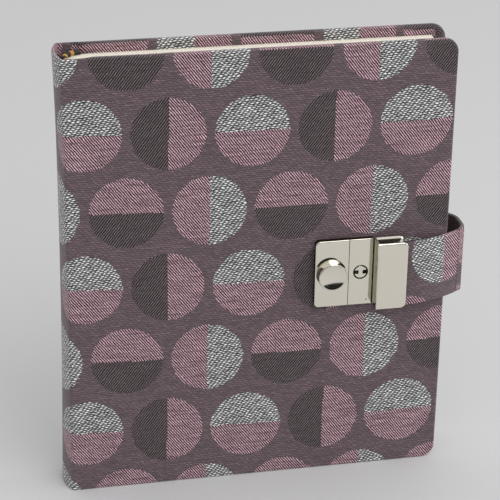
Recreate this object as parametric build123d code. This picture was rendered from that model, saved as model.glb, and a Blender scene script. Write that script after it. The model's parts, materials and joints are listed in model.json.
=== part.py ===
"""A cloth-covered diary with a strap, a hasp and a sliding lock, as separate pieces in millimetres.

Sizes are laid out from the spine's outermost line (x), the front cover's face (y) and the tail edge (z).
Each piece is then moved so that the origin lies at the middle of the base of the whole diary.
"""

import os
from math import cos, radians, sqrt, tan

from build123d import *

# Book: overall sizes and sheets
COVER_HEIGHT = 180.0
COVER_REACH = 150.0
CLOSED_THICKNESS = 19.5
BOARD = 1.7
CLOTH = 0.4
PAPER = 0.15
SPINE_CARD = 1.0
MULL = 0.25
SQUARE = 4.0
FORE_SQUARE = 5.8
CORNER_RADIUS = 5.5
CLOTH_EDGE_RADIUS = 0.8
JOINT_WIDTH = 4.0
TURN_IN = 15.0
GUTTER = 20.0
FLYLEAF_LEAD = 1.0
SPINE_HOLLOW = 1.9
SPINE_BULGE = 3.5
SPINE_SHOULDER = 2.0
BACK_SET = 1.2
SECTION_COUNT = 9
TURNING_SECTION_COUNT = 3
SHEET_GAP = 0.05
LEAF_GAP = 0.1

# Headbands: a bead on the block's edge and a tape down its back
BEAD_RADIUS = 0.9
BAND_TAPE = 0.2
BAND_TAPE_DEPTH = 8.0

# Strap: round the fore-edge from the back board to the hasp
STRAP_WIDTH = 28.6
STRAP_CORE = 0.8
STRAP_RISE = 2.15
STRAP_LOOP_REACH = 8.4
STRAP_BACK_RADIUS = 7.2
STRAP_SIDE_RADIUS = 5.5
STRAP_FRONT_RADIUS = 20.0
STRAP_SLOPE = 28.0
STRAP_EDGE_CLEAR = 0.35
STRAP_ROOT_LENGTH = 25.0
STRAP_BEND = 2.0
STRAP_TRIM = 2.0
ROOT_CLEAR = 0.05

# Lock: slide shell and keyhole case over a base plate
LOCK_MIDDLE = 88.0
LOCK_TO_FORE_EDGE = 53.0
LOCK_RISE = 2.4
SLIDE_WIDTH = 13.2
CASE_WIDTH = 9.3
SEAM = 0.2
LOCK_SHEET = 0.5
BASE_PLATE = 0.5
LOCK_CORNER = 1.8
LOCK_EDGE = 0.35
WALL_CLEAR = 0.2
CLOTH_FLOAT = 0.15
CASE_LIP = 1.0
CASE_LIP_DROP = 0.3
DIMPLE_RADIUS = 0.35
DIMPLE_RISE = 2.0
DIMPLE_INSET = 1.0

# Knob, latch fork and spring
KNOB_RADIUS = 6.0
KNOB_FACE_RADIUS = 5.6
KNOB_RIM = 0.6
KNOB_HEIGHT = 3.4
KNOB_DISH = 0.5
KNOB_STEM = 1.2
KNOB_SHOULDER = 2.2
STEM_CLEAR = 0.05
FORK = 0.9
FORK_ARM = 3.0
FORK_OPEN = 8.4
NOSE_REACH = 1.3
FORK_CLEAR = 0.25
SPRING_STRIP = 0.25
SPRING_WIDTH = 1.0
TAB = 0.4
TAB_WIDTH = 1.6
TAB_CLEAR = 0.5

# Key plug
PLUG_RADIUS = 2.93
PLUG_FACE_RADIUS = 2.45
PLUG_FLANGE = 0.15
PLUG_CLEAR = 0.07
PLUG_SHAFT = 2.0
PLUG_LOBE = 3.9
PLUG_LOBE_WIDTH = 2.0
PLUG_PIN = 0.9
KEYWAY_WIDTH = 1.5
KEYWAY_INNER = 0.8
KEYWAY_OUTER = 2.65
KEYWAY_DEPTH = 0.9

# Rivets and backing plate of the lock
RIVET_RADIUS = 0.8
RIVET_HEAD = 1.3
RIVET_HEAD_RISE = 0.45
RIVET_CLEAR = 0.03
RIVET_INSET = 3.4

# Hasp
HASP_GAP = 0.3
HASP_WIDTH = 12.1
STRAP_SHOWS = 0.3
HASP_SHEET = 0.7
HASP_RISE = 8.5
HASP_CORNER = 2.2
HASP_EDGE = 0.6
NOSE_CLEAR = 0.3
HASP_RIVET_SPACING = 16.0
STRAP_SEAT = 0.05

# Places that follow from the sizes above
SPINE_REACH = CLOSED_THICKNESS / 2
SPINE_ARC = (SPINE_REACH**2 + SPINE_BULGE**2) / (2 * SPINE_BULGE)
BACK_X = SPINE_REACH + BACK_SET
MIDDLE_Y = CLOSED_THICKNESS / 2
BOARD_X = SPINE_REACH + JOINT_WIDTH
COVER_THICKNESS = CLOTH + BOARD + CLOTH
LINED_COVER = COVER_THICKNESS + PAPER
BLOCK_FRONT = LINED_COVER + SHEET_GAP + PAPER + SHEET_GAP
BLOCK_THICKNESS = CLOSED_THICKNESS - 2 * BLOCK_FRONT
BLOCK_FORE_EDGE = COVER_REACH - FORE_SQUARE
BLOCK_HEAD = COVER_HEIGHT - SQUARE
BLOCK_RADIUS = BACK_X - CLOTH - SPINE_CARD - SPINE_HOLLOW - MULL - BAND_TAPE
BLOCK_CORNER_X = BACK_X - sqrt(BLOCK_RADIUS**2 - (BLOCK_THICKNESS / 2) ** 2)
SECTION = BLOCK_THICKNESS / SECTION_COUNT
FLYLEAF_FOLD = GUTTER - FLYLEAF_LEAD

STRAP_THICKNESS = STRAP_CORE + 2 * CLOTH
STRAP_FRONT_Y = -STRAP_RISE - STRAP_THICKNESS / 2
STRAP_BACK_Y = CLOSED_THICKNESS - STRAP_THICKNESS / 2
STRAP_SIDE_X = COVER_REACH + STRAP_LOOP_REACH - STRAP_THICKNESS / 2
STRAP_SLOPE_TAN = tan(radians(STRAP_SLOPE))
STRAP_AT_EDGE_Y = -(STRAP_THICKNESS / 2 + STRAP_EDGE_CLEAR) / cos(radians(STRAP_SLOPE))
STRAP_FRONT_X = COVER_REACH - (STRAP_AT_EDGE_Y - STRAP_FRONT_Y) / STRAP_SLOPE_TAN
STRAP_SIDE_Y = STRAP_FRONT_Y + (STRAP_SIDE_X - STRAP_FRONT_X) * STRAP_SLOPE_TAN

LOCK_LEFT = COVER_REACH - LOCK_TO_FORE_EDGE
LOCK_HEIGHT = STRAP_WIDTH - 2 * STRAP_SHOWS
LOCK_LOW = LOCK_MIDDLE - LOCK_HEIGHT / 2
LOCK_HIGH = LOCK_MIDDLE + LOCK_HEIGHT / 2
SEAM_X = LOCK_LEFT + SLIDE_WIDTH
CASE_X = SEAM_X + SEAM
CASE_END = CASE_X + CASE_WIDTH
LOCK_INSIDE_Y = -LOCK_RISE + LOCK_SHEET
FORK_BACK_Y = -BASE_PLATE - FORK_CLEAR
FORK_FRONT_Y = FORK_BACK_Y - FORK
KNOB_X = LOCK_LEFT + SLIDE_WIDTH / 2 - SEAM
PLUG_X = CASE_X + CASE_WIDTH / 2
FORK_RIGHT_OF_BRIDGE = SEAM_X - SEAM
FORK_LEFT = KNOB_X - KNOB_SHOULDER
FORK_TIP = CASE_END + NOSE_REACH
FORK_HALF = FORK_OPEN / 2 + FORK_ARM
TAB_X = LOCK_LEFT + LOCK_SHEET + 2 * WALL_CLEAR
SPRING_SPAN = 2 * (FORK_HALF + TAB_CLEAR) + TAB_WIDTH
RIVET_LOW = LOCK_LOW + RIVET_INSET
RIVET_HIGH = LOCK_HIGH - RIVET_INSET
RIVET_LEFT = LOCK_LEFT + RIVET_INSET
RIVET_RIGHT = CASE_END - RIVET_INSET

HASP_X = CASE_END + HASP_GAP
HASP_END = HASP_X + HASP_WIDTH
HASP_LOW, HASP_HIGH = LOCK_LOW, LOCK_HIGH
HASP_BACK_Y = -STRAP_RISE + STRAP_SEAT
STRAP_END_X = HASP_X + HASP_SHEET + STRAP_SEAT
HASP_RIVET_X = (STRAP_END_X + HASP_END) / 2

CENTRE_X = (COVER_REACH + STRAP_LOOP_REACH) / 2
CENTRE_Y = (CLOSED_THICKNESS - HASP_RISE) / 2


def block(x0, x1, y0, y1, z0, z1):
    """A box between two corners."""
    middle = Pos((x0 + x1) / 2, (y0 + y1) / 2, (z0 + z1) / 2)
    return middle * Box(x1 - x0, y1 - y0, z1 - z0)


def slab(x0, x1, y0, y1, z0, z1, radius):
    """A sheet facing the front, with its two corners at the larger x rounded."""
    sheet = block(x0, x1, y0, y1, z0, z1)
    corners = sheet.edges().filter_by(Axis.Y).sort_by(Axis.X)[-2:]
    return fillet(corners, radius)


def disc(x, z, radius, y0, y1):
    """A round bar along y between two depths."""
    return Pos(x, (y0 + y1) / 2, z) * Rot(90, 0, 0) * Cylinder(radius, y1 - y0)


def upright(profile, z0, z1):
    """A plan shape raised from one height to another."""
    return extrude(Pos(0, 0, z0) * profile, z1 - z0, dir=(0, 0, 1))


def to_back(solid):
    """The same piece on the back cover, mirrored through the middle of the diary."""
    return mirror(solid, about=Plane(origin=(0, MIDDLE_Y, 0), z_dir=(0, 1, 0)))


def rivet_places():
    """Where the four rivets of the lock stand, as x and z."""
    return [(x, z) for x in (RIVET_LEFT, RIVET_RIGHT) for z in (RIVET_LOW, RIVET_HIGH)]


def rivet_holes():
    """The four holes for the lock's rivets, through everything they hold."""
    radius = RIVET_RADIUS + RIVET_CLEAR
    return [disc(x, z, radius, -LOCK_RISE, LINED_COVER) for x, z in rivet_places()]


def cover_board():
    """One bare board, without holes."""
    low, high = CLOTH, COVER_HEIGHT - CLOTH
    return slab(BOARD_X, COVER_REACH - CLOTH, CLOTH, CLOTH + BOARD, low, high, CORNER_RADIUS - CLOTH)


def cover_cloth():
    """The cloth of one cover with its edges wrapped and its turn-ins on the inside."""
    sheet = slab(BOARD_X, COVER_REACH, 0, COVER_THICKNESS, 0, COVER_HEIGHT, CORNER_RADIUS)
    faces = sheet.faces().sort_by(Axis.Y)
    hinge_side = sheet.faces().sort_by(Axis.X)[0].edges()
    rims = [e for face in (faces[0], faces[-1]) for e in face.edges() if e not in hinge_side]
    wrapped = fillet(rims, CLOTH_EDGE_RADIUS)
    window = block(
        BOARD_X,
        COVER_REACH - TURN_IN,
        CLOTH + BOARD,
        COVER_THICKNESS,
        TURN_IN,
        COVER_HEIGHT - TURN_IN,
    )
    return wrapped - cover_board() - window


def infill_card():
    """The card that fills the space between the turn-ins."""
    right = COVER_REACH - TURN_IN - SHEET_GAP
    low = TURN_IN + SHEET_GAP
    return block(BOARD_X, right, CLOTH + BOARD, COVER_THICKNESS, low, COVER_HEIGHT - low)


def pastedown():
    """The end paper glued to the inside of one cover."""
    right = COVER_REACH - SQUARE
    return block(BOARD_X, right, COVER_THICKNESS, LINED_COVER, SQUARE, COVER_HEIGHT - SQUARE)


def round_sheet(outer, inner, z0, z1):
    """A half ring round the block's back between two radii."""
    ring = Circle(outer) - Circle(inner)
    left_half = Pos(-outer / 2, 0) * Rectangle(outer, 2 * outer)
    return upright(Pos(BACK_X, MIDDLE_Y) * (ring & left_half), z0, z1)


def spine_plan(inset):
    """Plan of the spine as far as the joints, a given depth inside its outer face."""
    arc = Pos(SPINE_ARC, MIDDLE_Y) * Circle(SPINE_ARC - inset)
    reach = Pos(SPINE_REACH / 2, MIDDLE_Y) * Rectangle(SPINE_REACH, CLOSED_THICKNESS - 2 * inset)
    plan = arc & reach
    shoulders = plan.vertices().sort_by(Axis.X)[:2]
    return fillet(shoulders, SPINE_SHOULDER - inset)


def spine_sheet(outer, inner, z0, z1):
    """A sheet round the arched spine and its two shoulders, between two insets."""
    return upright(spine_plan(outer) - spine_plan(inner), z0, z1)


def back_of_block():
    """Plan of the whole text block: flat sides, a straight fore-edge and a rounded back."""
    round_back = Pos(BACK_X, MIDDLE_Y) * Circle(BLOCK_RADIUS)
    width = BLOCK_FORE_EDGE - BACK_X
    leaves = Pos(BACK_X + width / 2, MIDDLE_Y) * Rectangle(width, BLOCK_THICKNESS)
    band = Pos(BACK_X / 2, MIDDLE_Y) * Rectangle(BACK_X, BLOCK_THICKNESS)
    return leaves + (round_back & band)


def section(number, x0, x1):
    """One folded section of the block, cut to the stretch from x0 to x1."""
    front = BLOCK_FRONT + number * SECTION
    cut = block(x0, x1, front, front + SECTION - SHEET_GAP, SQUARE, BLOCK_HEAD)
    return upright(back_of_block(), SQUARE, BLOCK_HEAD) & cut


def flyleaf(x0):
    """The free leaf of the end paper, from x0 to the fore-edge."""
    back = LINED_COVER + SHEET_GAP + PAPER
    return block(x0, BLOCK_FORE_EDGE, back - PAPER, back, SQUARE, BLOCK_HEAD)


def flyleaf_strip():
    """The edge of the front flyleaf that is glued to the first section."""
    back = LINED_COVER + SHEET_GAP + PAPER
    right = FLYLEAF_FOLD - LEAF_GAP
    return block(BLOCK_CORNER_X, right, back - PAPER, back, SQUARE, BLOCK_HEAD)


def band(edge, away):
    """A headband: a bead across the block's edge, and its tape down the block's back.

    away is +1 at the head and -1 at the tail.
    """
    reach = BLOCK_RADIUS + BAND_TAPE
    ring = Torus(reach - BEAD_RADIUS, BEAD_RADIUS)
    half = Pos(-reach / 2, 0) * Box(reach, 2 * reach, 2 * BEAD_RADIUS)
    middle = edge + away * (BEAD_RADIUS + SHEET_GAP)
    bead = Pos(BACK_X, MIDDLE_Y, middle) * (ring & half)
    low, high = sorted((edge - away * BAND_TAPE_DEPTH, middle))
    tape = round_sheet(reach, BLOCK_RADIUS, low, high)
    return bead + (tape & held_back(low, high))


def held_back(z0, z1):
    """The space behind the block's back, no wider than the block."""
    front = BLOCK_FRONT
    return block(0, BACK_X, front, front + BLOCK_THICKNESS, z0, z1)


def mull():
    """The gauze glued round the back of the block, over the tapes."""
    inner = BLOCK_RADIUS + BAND_TAPE
    sheet = round_sheet(inner + MULL, inner, SQUARE, BLOCK_HEAD)
    return sheet & held_back(SQUARE, BLOCK_HEAD)


def strap_profile(thickness):
    """Plan of the strap from the back board's edge, round the fore-edge and into the hasp."""
    corners = [
        (COVER_REACH, STRAP_BACK_Y),
        (STRAP_SIDE_X, STRAP_BACK_Y),
        (STRAP_SIDE_X, STRAP_SIDE_Y),
        (STRAP_FRONT_X, STRAP_FRONT_Y),
        (STRAP_END_X, STRAP_FRONT_Y),
    ]
    radii = [STRAP_BACK_RADIUS, STRAP_SIDE_RADIUS, STRAP_FRONT_RADIUS]
    return trace(FilletPolyline(*corners, radius=radii), thickness)


def strap_solid(thickness, width):
    """The whole strap at one thickness and width."""
    low = LOCK_MIDDLE - width / 2
    return upright(strap_profile(thickness), low, low + width)


def bend_space():
    """The short stretch beside the fore-edge where the strap bends."""
    low, high = LOCK_MIDDLE - STRAP_WIDTH, LOCK_MIDDLE + STRAP_WIDTH
    right = COVER_REACH + STRAP_BEND
    return block(0, right, MIDDLE_Y, CLOSED_THICKNESS + STRAP_BACK_RADIUS, low, high)


def trimmed(strap, half, right):
    """A strap with its end in the hasp cut narrower, to a half width, left of a place."""
    outside = STRAP_WIDTH
    upper = block(0, right, -HASP_RISE, 0, LOCK_MIDDLE + half, LOCK_MIDDLE + outside)
    lower = block(0, right, -HASP_RISE, 0, LOCK_MIDDLE - outside, LOCK_MIDDLE - half)
    return strap - upper - lower


def strap_pieces():
    """The strap's core, its cloth, and the bend at the back cover."""
    half, shoulder = STRAP_WIDTH / 2 - STRAP_TRIM, HASP_END + HASP_GAP
    whole = trimmed(strap_solid(STRAP_THICKNESS, STRAP_WIDTH), half, shoulder)
    core = strap_solid(STRAP_CORE, STRAP_WIDTH - 2 * CLOTH)
    core = trimmed(core, half - CLOTH, shoulder + CLOTH)
    holes = hasp_rivet_bars(RIVET_RADIUS + RIVET_CLEAR)
    free_core = core - bend_space() - holes
    cloth = whole - core - bend_space() - holes
    return free_core, cloth, whole & bend_space()


def root_space(clear):
    """The strap's root in the back board, with room round it."""
    half = STRAP_WIDTH / 2 - CLOTH + clear
    left = COVER_REACH - CLOTH - STRAP_ROOT_LENGTH - clear
    front = CLOSED_THICKNESS - CLOTH - STRAP_CORE - clear
    back = CLOSED_THICKNESS - CLOTH
    return block(left, COVER_REACH, front, back, LOCK_MIDDLE - half, LOCK_MIDDLE + half)


def base_plate():
    """The plate under the lock, narrower under the slide, with two tabs for the spring."""
    inset = LOCK_SHEET + WALL_CLEAR
    under_case = block(CASE_X, CASE_END, -BASE_PLATE, 0, LOCK_LOW, LOCK_HIGH)
    left = LOCK_LEFT + inset
    under_slide = block(left, CASE_X, -BASE_PLATE, 0, LOCK_LOW + inset, LOCK_HIGH - inset)
    half = SPRING_SPAN / 2
    tabs = [
        block(TAB_X, TAB_X + TAB, FORK_FRONT_Y, -BASE_PLATE, z - TAB_WIDTH / 2, z + TAB_WIDTH / 2)
        for z in (LOCK_MIDDLE - half, LOCK_MIDDLE + half)
    ]
    pin_hole = disc(PLUG_X, LOCK_MIDDLE, PLUG_PIN + PLUG_CLEAR, -BASE_PLATE, 0)
    return (under_case + under_slide + tabs) - rivet_holes() - pin_hole


def lock_case():
    """The fixed shell with the keyhole: a face, two walls, a lowered lip and a pressed dimple."""
    outer = block(CASE_X, CASE_END, -LOCK_RISE, -BASE_PLATE, LOCK_LOW, LOCK_HIGH)
    rims = [e for e in outer.faces().sort_by(Axis.Y)[0].edges().filter_by(Axis.X)]
    outer = fillet(rims, LOCK_EDGE)
    low, high = LOCK_LOW + LOCK_SHEET, LOCK_HIGH - LOCK_SHEET
    hollow = block(CASE_X, CASE_END, LOCK_INSIDE_Y, -BASE_PLATE, low, high)
    lip_left = CASE_END - CASE_LIP
    lip = block(lip_left, CASE_END, -LOCK_RISE, -LOCK_RISE + CASE_LIP_DROP, LOCK_LOW, LOCK_HIGH)
    keyhole = disc(PLUG_X, LOCK_MIDDLE, PLUG_RADIUS + PLUG_CLEAR, -LOCK_RISE, LOCK_INSIDE_Y)
    dimple_place = Pos(lip_left - DIMPLE_INSET, -LOCK_RISE, LOCK_LOW + DIMPLE_RISE)
    dimple = dimple_place * Sphere(DIMPLE_RADIUS)
    return outer - hollow - lip - keyhole - dimple


def slide_shell():
    """The shell that carries the knob: a face with three walls, open towards the case."""
    outer = block(LOCK_LEFT, SEAM_X, -LOCK_RISE, -CLOTH_FLOAT, LOCK_LOW, LOCK_HIGH)
    corners = outer.edges().filter_by(Axis.Y).sort_by(Axis.X)[:2]
    outer = fillet(corners, LOCK_CORNER)
    seam_side = outer.faces().sort_by(Axis.X)[-1].edges()
    rims = [e for e in outer.faces().sort_by(Axis.Y)[0].edges() if e not in seam_side]
    outer = fillet(rims, LOCK_EDGE)
    low, high = LOCK_LOW + LOCK_SHEET, LOCK_HIGH - LOCK_SHEET
    hollow = block(LOCK_LEFT + LOCK_SHEET, SEAM_X, LOCK_INSIDE_Y, 0, low, high)
    stem = disc(KNOB_X, LOCK_MIDDLE, KNOB_STEM + STEM_CLEAR, -LOCK_RISE, LOCK_INSIDE_Y)
    return outer - hollow - stem


def slide_knob():
    """The round knob with its dished face, and the stem that rivets it to the fork."""
    base = -LOCK_RISE
    dish_radius = (KNOB_FACE_RADIUS**2 + KNOB_DISH**2) / (2 * KNOB_DISH)
    dish_middle = KNOB_HEIGHT - KNOB_DISH
    outline = Polyline(
        (0, dish_middle),
        (0, 0),
        (KNOB_RADIUS, 0),
        (KNOB_RADIUS, KNOB_RIM),
        (KNOB_FACE_RADIUS, KNOB_HEIGHT),
    )
    dish = RadiusArc((KNOB_FACE_RADIUS, KNOB_HEIGHT), (0, dish_middle), dish_radius)
    head = revolve(make_face(outline + dish), Axis.Y)
    head = Pos(KNOB_X, base, LOCK_MIDDLE) * Rot(180, 0, 0) * head
    stem = disc(KNOB_X, LOCK_MIDDLE, KNOB_STEM, base, FORK_BACK_Y)
    shoulder = disc(KNOB_X, LOCK_MIDDLE, KNOB_SHOULDER, LOCK_INSIDE_Y, FORK_FRONT_Y)
    return head + stem + shoulder


def latch_fork():
    """The latch: a bridge under the knob and two arms past the key plug to their noses."""
    low, high = LOCK_MIDDLE - FORK_HALF, LOCK_MIDDLE + FORK_HALF
    bar = block(FORK_LEFT, FORK_TIP, FORK_FRONT_Y, FORK_BACK_Y, low, high)
    gap_low, gap_high = LOCK_MIDDLE - FORK_OPEN / 2, LOCK_MIDDLE + FORK_OPEN / 2
    gap = block(FORK_RIGHT_OF_BRIDGE, FORK_TIP, FORK_FRONT_Y, FORK_BACK_Y, gap_low, gap_high)
    stem = disc(KNOB_X, LOCK_MIDDLE, KNOB_STEM + STEM_CLEAR, FORK_FRONT_Y, FORK_BACK_Y)
    return bar - gap - stem


def bow_spring():
    """The bowed strip between the base plate's tabs and the fork's bridge."""
    foot = TAB_X + TAB + SHEET_GAP
    crown = FORK_LEFT - SHEET_GAP
    half = SPRING_SPAN / 2
    rise = crown - foot - SPRING_STRIP
    bow = ThreePointArc((foot, -half), (foot + rise, 0), (foot, half))
    strip = trace(bow, SPRING_STRIP)
    back = FORK_BACK_Y
    laid = Pos(SPRING_STRIP / 2, back, LOCK_MIDDLE) * Rot(90, 0, 0) * extrude(strip, SPRING_WIDTH)
    return laid


def key_plug():
    """The plug in the keyhole: a grooved face with two key slots, a shaft with a lobe, a pivot pin."""
    face = disc(PLUG_X, LOCK_MIDDLE, PLUG_FACE_RADIUS, -LOCK_RISE, LOCK_INSIDE_Y)
    face += disc(PLUG_X, LOCK_MIDDLE, PLUG_RADIUS, LOCK_INSIDE_Y - PLUG_FLANGE, LOCK_INSIDE_Y)
    shaft_end = -BASE_PLATE - SHEET_GAP
    shaft = disc(PLUG_X, LOCK_MIDDLE, PLUG_SHAFT, LOCK_INSIDE_Y, shaft_end)
    half = PLUG_LOBE_WIDTH / 2
    lobe_left = PLUG_X - PLUG_LOBE
    low, high = LOCK_MIDDLE - half, LOCK_MIDDLE + half
    lobe = block(lobe_left, PLUG_X, LOCK_INSIDE_Y, shaft_end, low, high)
    pin = disc(PLUG_X, LOCK_MIDDLE, PLUG_PIN, shaft_end, 0)
    slots = [key_slot(side) for side in (-1, 1)]
    return face + shaft + lobe + pin - slots


def key_slot(side):
    """One of the two slots in the plug's face, left (-1) or right (+1) of its middle."""
    x0, x1 = sorted((PLUG_X + side * KEYWAY_INNER, PLUG_X + side * KEYWAY_OUTER))
    half = KEYWAY_WIDTH / 2
    depth = -LOCK_RISE + KEYWAY_DEPTH
    return block(x0, x1, -LOCK_RISE, depth, LOCK_MIDDLE - half, LOCK_MIDDLE + half)


def backing_plate(clear):
    """The plate inside the front cover that the lock's rivets are closed on."""
    left, right = RIVET_LEFT - RIVET_INSET - clear, RIVET_RIGHT + RIVET_INSET + clear
    low, high = LOCK_LOW - clear, LOCK_HIGH + clear
    return block(left, right, CLOTH + BOARD, COVER_THICKNESS, low, high)


def lock_rivets():
    """Four rivets from the base plate to the backing plate."""
    rivets = []
    for x, z in rivet_places():
        head = disc(x, z, RIVET_HEAD, -BASE_PLATE - RIVET_HEAD_RISE, -BASE_PLATE)
        shank = disc(x, z, RIVET_RADIUS, -BASE_PLATE, COVER_THICKNESS)
        rivets.append(head + shank)
    return Compound(children=rivets)


def hasp_shell():
    """The folded sheet on the strap's end: front plate, left wall with two windows, back plate."""
    front = slab(
        HASP_X,
        HASP_END,
        -HASP_RISE,
        -HASP_RISE + HASP_SHEET,
        HASP_LOW,
        HASP_HIGH,
        HASP_CORNER,
    )
    back = slab(
        HASP_X, HASP_END, HASP_BACK_Y, HASP_BACK_Y + HASP_SHEET, HASP_LOW, HASP_HIGH, HASP_CORNER
    )
    wall = block(HASP_X, HASP_X + HASP_SHEET, -HASP_RISE, -CLOTH_FLOAT, HASP_LOW, HASP_HIGH)
    shell = front + back + wall
    shell = fillet(shell.faces().sort_by(Axis.Y)[0].edges(), HASP_EDGE)
    holes = hasp_rivet_bars(RIVET_RADIUS + RIVET_CLEAR)
    return shell - [nose_window(side) for side in (-1, 1)] - holes


def nose_window(side):
    """The window in the hasp's wall for one nose of the latch fork."""
    middle = LOCK_MIDDLE + side * (FORK_OPEN + FORK_ARM) / 2
    half = FORK_ARM / 2 + NOSE_CLEAR
    front, back = FORK_FRONT_Y - NOSE_CLEAR, FORK_BACK_Y + NOSE_CLEAR
    return block(HASP_X, HASP_X + HASP_SHEET + NOSE_REACH, front, back, middle - half, middle + half)


def hasp_rivet_places():
    """Heights of the two rivets in the hasp."""
    return [LOCK_MIDDLE + side * HASP_RIVET_SPACING / 2 for side in (-1, 1)]


def hasp_rivet_bars(radius):
    """Two bars through the strap and the hasp's back plate."""
    front, back = STRAP_FRONT_Y - STRAP_THICKNESS / 2, HASP_BACK_Y + HASP_SHEET
    return [disc(HASP_RIVET_X, z, radius, front, back) for z in hasp_rivet_places()]


def hasp_rivets():
    """The two rivets that hold the strap's end in the hasp."""
    seat = STRAP_FRONT_Y - STRAP_THICKNESS / 2
    heads = [
        disc(HASP_RIVET_X, z, RIVET_HEAD, seat - RIVET_HEAD_RISE, seat) for z in hasp_rivet_places()
    ]
    return Compound(children=[a + b for a, b in zip(heads, hasp_rivet_bars(RIVET_RADIUS))])


def front_cover():
    """The pieces that swing with the front cover, apart from the lock."""
    holes = rivet_holes()
    return {
        "front_board": cover_board() - holes,
        "front_cover_cloth": cover_cloth() - holes,
        "front_infill_card": infill_card() - backing_plate(SHEET_GAP),
        "front_pastedown": pastedown(),
        "lock_base_plate": base_plate(),
        "lock_backing_plate": backing_plate(0) - holes,
        "lock_rivets": lock_rivets(),
        "lock_case": lock_case(),
    }


def lock_moving():
    """The pieces of the lock that move on the front cover."""
    return {
        "slide_shell": slide_shell(),
        "slide_knob": slide_knob(),
        "latch_fork": latch_fork(),
        "bow_spring": bow_spring(),
        "key_plug": key_plug(),
    }


def back_and_spine():
    """The back cover, the spine and the bend of the front joint."""
    low, high = CLOTH, COVER_HEIGHT - CLOTH
    joint = block(SPINE_REACH, BOARD_X, 0, CLOTH, 0, COVER_HEIGHT)
    root = root_space(ROOT_CLEAR)
    return {
        "back_board": to_back(cover_board()) - root,
        "back_cover_cloth": to_back(cover_cloth()) - root,
        "back_infill_card": to_back(infill_card()),
        "back_pastedown": to_back(pastedown()),
        "spine_cloth": spine_sheet(0, CLOTH, 0, COVER_HEIGHT),
        "spine_card": spine_sheet(CLOTH, CLOTH + SPINE_CARD, low, high),
        "front_joint_cloth": joint,
        "back_joint_cloth": to_back(joint),
        "strap_root": root_space(0),
    }


def text_block():
    """The sewn sections, their end leaves and what is glued to their back."""
    pieces = {
        "head_band": band(BLOCK_HEAD, 1),
        "tail_band": band(SQUARE, -1),
        "spine_mull": mull(),
        "front_flyleaf": flyleaf(FLYLEAF_FOLD),
        "front_flyleaf_strip": flyleaf_strip(),
        "back_flyleaf": to_back(flyleaf(BLOCK_CORNER_X)),
    }
    for number in range(SECTION_COUNT):
        name = f"section_{number + 1}"
        if number < TURNING_SECTION_COUNT:
            pieces[f"{name}_leaves"] = section(number, GUTTER, BLOCK_FORE_EDGE)
            pieces[f"{name}_fold"] = section(number, 0, GUTTER - LEAF_GAP)
        else:
            pieces[name] = section(number, 0, BLOCK_FORE_EDGE)
    return pieces


def strap_and_hasp():
    """The pieces that swing with the strap, and the bend that lets them."""
    core, cloth, bend = strap_pieces()
    return {
        "strap_core": core,
        "strap_cloth": cloth,
        "strap_bend": bend,
        "hasp_shell": hasp_shell(),
        "hasp_rivets": hasp_rivets(),
    }


def main():
    """Build every piece and write it to its own file."""
    os.makedirs("parts", exist_ok=True)
    pieces = front_cover() | lock_moving() | back_and_spine() | text_block() | strap_and_hasp()
    for name, solid in pieces.items():
        export_step(Pos(-CENTRE_X, -CENTRE_Y, 0) * solid, f"parts/{name}.step")


main()
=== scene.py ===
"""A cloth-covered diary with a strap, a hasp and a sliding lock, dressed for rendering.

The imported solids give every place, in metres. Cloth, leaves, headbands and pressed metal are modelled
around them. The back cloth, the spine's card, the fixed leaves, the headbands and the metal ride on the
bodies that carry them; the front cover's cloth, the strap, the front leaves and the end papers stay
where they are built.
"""

import json
import logging
import math
from dataclasses import dataclass
from enum import Enum

import bmesh
import bpy
from mathutils import Euler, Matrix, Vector


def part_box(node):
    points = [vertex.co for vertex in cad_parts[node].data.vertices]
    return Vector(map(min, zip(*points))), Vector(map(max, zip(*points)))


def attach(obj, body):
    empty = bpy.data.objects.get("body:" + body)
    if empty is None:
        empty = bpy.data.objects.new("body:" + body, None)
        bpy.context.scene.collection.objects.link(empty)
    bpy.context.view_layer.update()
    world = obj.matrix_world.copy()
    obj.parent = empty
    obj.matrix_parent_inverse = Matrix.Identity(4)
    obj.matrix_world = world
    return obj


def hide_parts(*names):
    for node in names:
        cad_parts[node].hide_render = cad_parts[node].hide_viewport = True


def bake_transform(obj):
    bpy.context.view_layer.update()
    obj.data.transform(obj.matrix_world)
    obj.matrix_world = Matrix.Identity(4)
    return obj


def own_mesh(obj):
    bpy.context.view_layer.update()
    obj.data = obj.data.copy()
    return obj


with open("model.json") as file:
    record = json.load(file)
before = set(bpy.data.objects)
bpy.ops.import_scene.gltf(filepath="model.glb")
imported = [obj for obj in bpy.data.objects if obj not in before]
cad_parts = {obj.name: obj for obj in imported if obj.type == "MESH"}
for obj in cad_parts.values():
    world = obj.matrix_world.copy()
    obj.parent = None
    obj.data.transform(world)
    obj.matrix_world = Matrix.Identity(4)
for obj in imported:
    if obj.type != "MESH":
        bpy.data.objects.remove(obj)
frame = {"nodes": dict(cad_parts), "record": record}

MM = 0.001
TAU = 2 * math.pi
QUARTER = math.pi / 2
LOG = logging.getLogger("diary")
Socket = bpy.types.NodeSocket
Tree = bpy.types.NodeTree
Piece = bpy.types.Object
Finish = bpy.types.Material
PlanPoint = tuple[float, float]
Face = tuple[int, ...]


class Body(str, Enum):
    """The rigid bodies that pieces ride on."""

    BLOCK = "back_cover_and_block"
    COVER = "front_cover"
    FLYLEAF = "front_flyleaf"
    LEAVES = "front_leaves"
    STRAP = "strap"
    SLIDE = "lock_slide"
    PLUG = "key_plug"


class Slot(str, Enum):
    """The record's material slots."""

    CLOTH = "cover_cloth"
    BOARD = "board"
    CARD = "card"
    END_PAPER = "end_paper"
    PAGES = "pages"
    SILK = "band_silk"
    GAUZE = "gauze"
    NICKEL = "nickel"
    STEEL = "steel"


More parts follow.
